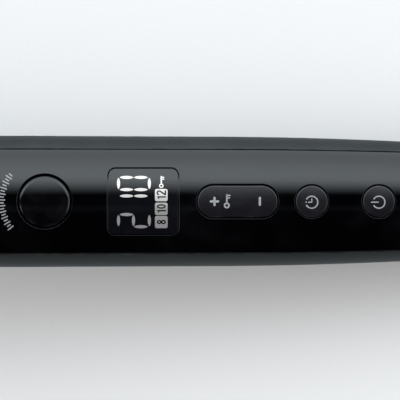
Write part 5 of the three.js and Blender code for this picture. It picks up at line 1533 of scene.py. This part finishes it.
# %% Bracket and its pin
EAR_NEAR, EAR_FAR = 7.1, 9.1
EAR_EYE = 3.4
SADDLE_THICK = 1.6
SADDLE_FROM_PIN = 4.2
SADDLE_MIDDLE = 8  # a place along the handle, near the saddle's middle
SADDLE_GIRTH = 17.0  # turns a length across the saddle into an angle
bracket_rear = span("pivot_bracket")[1].x
bracket_front = clamp_pin.x - EAR_EYE


def ear(y_low, thick):
    """One ear of the bracket: an eye round the pin, running down to the collar and back to the saddle."""
    eye = arc(clamp_pin.x, clamp_pin.z, EAR_EYE, 35, 180, 9)
    feet = [(x, math.sqrt(collar_radius(x) ** 2 - EAR_FAR ** 2)) for x in (bracket_front, bracket_rear)]
    outline = eye + feet + [(bracket_rear, collar_radius(bracket_rear) + SADDLE_THICK)]
    hole = circle(clamp_pin.x, clamp_pin.z, PIN + PIN_SLACK, 0.3)
    return sideways_plate(resampled(outline, 0.6), [hole], y_low, thick)


def saddle_top(u, v):
    """Top of the strip across the collar that joins the ears."""
    radius = collar_radius(u) + GAP + SADDLE_THICK
    return np.stack([u, radius * np.sin(v / SADDLE_GIRTH), radius * np.cos(v / SADDLE_GIRTH)], axis=1)


saddle_reach = EAR_NEAR / (collar_radius(SADDLE_MIDDLE) + GAP + SADDLE_THICK)
saddle_half = SADDLE_GIRTH * math.asin(saddle_reach) + 0.4  # runs a little into both ears
saddle_front = clamp_pin.x + SADDLE_FROM_PIN
saddle_outline = rounded_rectangle(
    (saddle_front + bracket_rear) / 2, 0, bracket_rear - saddle_front, 2 * saddle_half, 0.3, 0.7,
)
saddle = moulding(saddle_outline, [], saddle_top, SADDLE_THICK, edge=0.25, spacing=1.0)
piece("bracket", "handle", "bright_metal", ["pivot_bracket"], *both_sides(ear, EAR_NEAR, EAR_FAR), saddle)


def headed_pin(centre, radius, half, head, dome):
    """A round pin along y with domed heads."""
    wide, shoulder_x, crown = radius + dome, half + head * 0.75, (radius + dome) * 0.7
    return turned([
        (-half - head, 0), (-shoulder_x, crown, 1.2), (-half, wide, 0.25), (-half, radius),
        (half, radius), (half, wide, 0.25), (shoulder_x, crown, 1.2), (half + head, 0),
    ], axis_at(centre, (0, 1, 0)), 48, closed=False)


HEAD_OVER = 0.9  # a pin's head reaches this far beyond its shank all round
CLAMP_HEAD, STAND_HEAD = 0.9, 0.8
pin_half = span("pivot_pin")[1].y - CLAMP_HEAD
clamp_pin_shape = headed_pin(clamp_pin, PIN, pin_half, CLAMP_HEAD, HEAD_OVER)
piece("clamp_pin", "handle", "bright_metal", ["pivot_pin"], clamp_pin_shape)
stand_half = span("stand_pin")[1].y - STAND_HEAD
stand_pin_shape = headed_pin(stand_pin, STAND_PIN, stand_half, STAND_HEAD, HEAD_OVER)
piece("stand_hinge_pin", "handle", "bright_metal", ["stand_pin"], stand_pin_shape)

# %% Clamp spring
# One leg rests on the bracket and the other under the tongue, so the coils twist between two bodies.
WIRE = 0.45
spring_low, spring_high = span("clamp_spring")
COIL = 2.5
TURNS, STEPS_PER_TURN = 3.5, 28
LEG_STEPS = 10
LOWER_LEG, UPPER_LEG = 3.9, 8.0
y0, y1 = spring_low.y + WIRE, spring_high.y - WIRE
lower_step, upper_step = LOWER_LEG / LEG_STEPS, UPPER_LEG / LEG_STEPS
upper_climb = math.tan(LEVER_SLOPE) / 2
coil = [clamp_pin + Vector((LOWER_LEG - lower_step * k, y0 - clamp_pin.y, -COIL)) for k in range(LEG_STEPS)]
for k in range(int(TURNS * STEPS_PER_TURN) + 1):
    turn = 2 * math.pi * k / STEPS_PER_TURN
    reached = y0 + (y1 - y0) * turn / (2 * math.pi * TURNS)
    coil.append(clamp_pin + Vector((-COIL * math.sin(turn), reached, -COIL * math.cos(turn))))
for k in range(1, LEG_STEPS + 1):
    coil.append(clamp_pin + Vector((upper_step * k, y1, COIL + upper_climb * upper_step * k)))
spring = piece("spring_coil", None, "screw_steel", ["clamp_spring"], swept(coil, WIRE, 10))
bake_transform(spring)

# %% [markdown]
# ## The stand
#
# A flat steel strip bent into a U: an eye at each end turns on the pin, and two rubber feet sit under its
# cross bar. The feet lie on the table, not along the handle, so the bar and the feet are laid out in the
# table's own directions.

# %% Stand
table_up = Vector((HANDLE.inverted().to_3x3() @ Vector((0, 0, 1))))
foot_low, foot_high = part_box("stand_foot_left")
foot_x = (foot_low[0] + foot_high[0]) / 2
FOOT_RADIUS = (foot_high[0] - foot_low[0]) / 2 / MM
FOOT_THICK = foot_high[2] / MM
BAR_THICK, BAR_WIDTH = 2.4, 5.0
bar_under = FOOT_THICK + GAP
bar_half = span("kickstand")[1].y


def over_table(height):
    """A level surface of (x, y) from the feet's middle, at a height above the table, in millimetres."""
    def at(u, v):
        level = np.full_like(u, height * MM)
        world_points = np.stack([foot_x + u * MM, v * MM, level, np.ones_like(u)], axis=1)
        return (world_points @ TO_HANDLE.T)[:, :3] / MM
    return at


ARM_NEAR, ARM_FAR = 8.3, 10.7
ARM_EYE = 3.0
EYE_SWEEP = 123  # degrees that the eye's round part runs to each side of the arm's far end
bar_middle = Vector(over_table(bar_under + BAR_THICK / 2)(np.zeros(1), np.zeros(1))[0])
down_arm = Vector((bar_middle.x - stand_pin.x, bar_middle.z - stand_pin.z)).normalized()
across_arm = Vector((-down_arm.y, down_arm.x))
arm_start = Vector((stand_pin.x, stand_pin.z))


def onto_bar(begin, heading):
    """Where a line in (x, z) meets the bar's underside."""
    up = Vector((table_up.x, table_up.z))
    low = Vector((bar_middle.x, bar_middle.z)) - up * BAR_THICK / 2
    return begin + heading * ((low - begin).dot(up) / heading.dot(up))


def arm(y_low, thick):
    """One arm: an eye round the pin and a straight strip down to the bar."""
    heading = math.degrees(math.atan2(-down_arm.y, -down_arm.x))
    eye = arc(stand_pin.x, stand_pin.z, ARM_EYE, heading - EYE_SWEEP, heading + EYE_SWEEP, 10)
    lower_side = onto_bar(arm_start + across_arm * BAR_WIDTH / 2, down_arm)
    upper_corner = Vector((bar_middle.x, bar_middle.z)) - across_arm * BAR_WIDTH / 2
    outline = [tuple(lower_side)] + eye + [tuple(upper_corner), tuple(onto_bar(upper_corner, across_arm))]
    hole = circle(stand_pin.x, stand_pin.z, STAND_PIN + PIN_SLACK, 0.3)
    return sideways_plate(resampled(outline, 0.8), [hole], y_low, thick, 0.4)


bar_outline = rounded_rectangle(0, 0, BAR_WIDTH, 2 * bar_half, 1.6, 0.6)
bar = moulding(bar_outline, [], over_table(bar_under + BAR_THICK), BAR_THICK, edge=0.45, spacing=1.2)
piece("stand_frame", "stand", "bright_metal", ["kickstand"], bar, *both_sides(arm, ARM_NEAR, ARM_FAR))
for side, node in ((1, "stand_foot_left"), (-1, "stand_foot_right")):
    low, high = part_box(node)
    middle = in_handle(((low[0] + high[0]) / 2, (low[1] + high[1]) / 2, 0))
    piece(node + "_pad", "stand", "dark_rubber", [node], turned([
        (0, 0), (0, FOOT_RADIUS - 0.15, 0.35), (FOOT_THICK * 0.45, FOOT_RADIUS, 0.3),
        (FOOT_THICK, FOOT_RADIUS - 0.25, 0.3), (FOOT_THICK, 0),
    ], axis_at(middle, table_up), 48, closed=False))
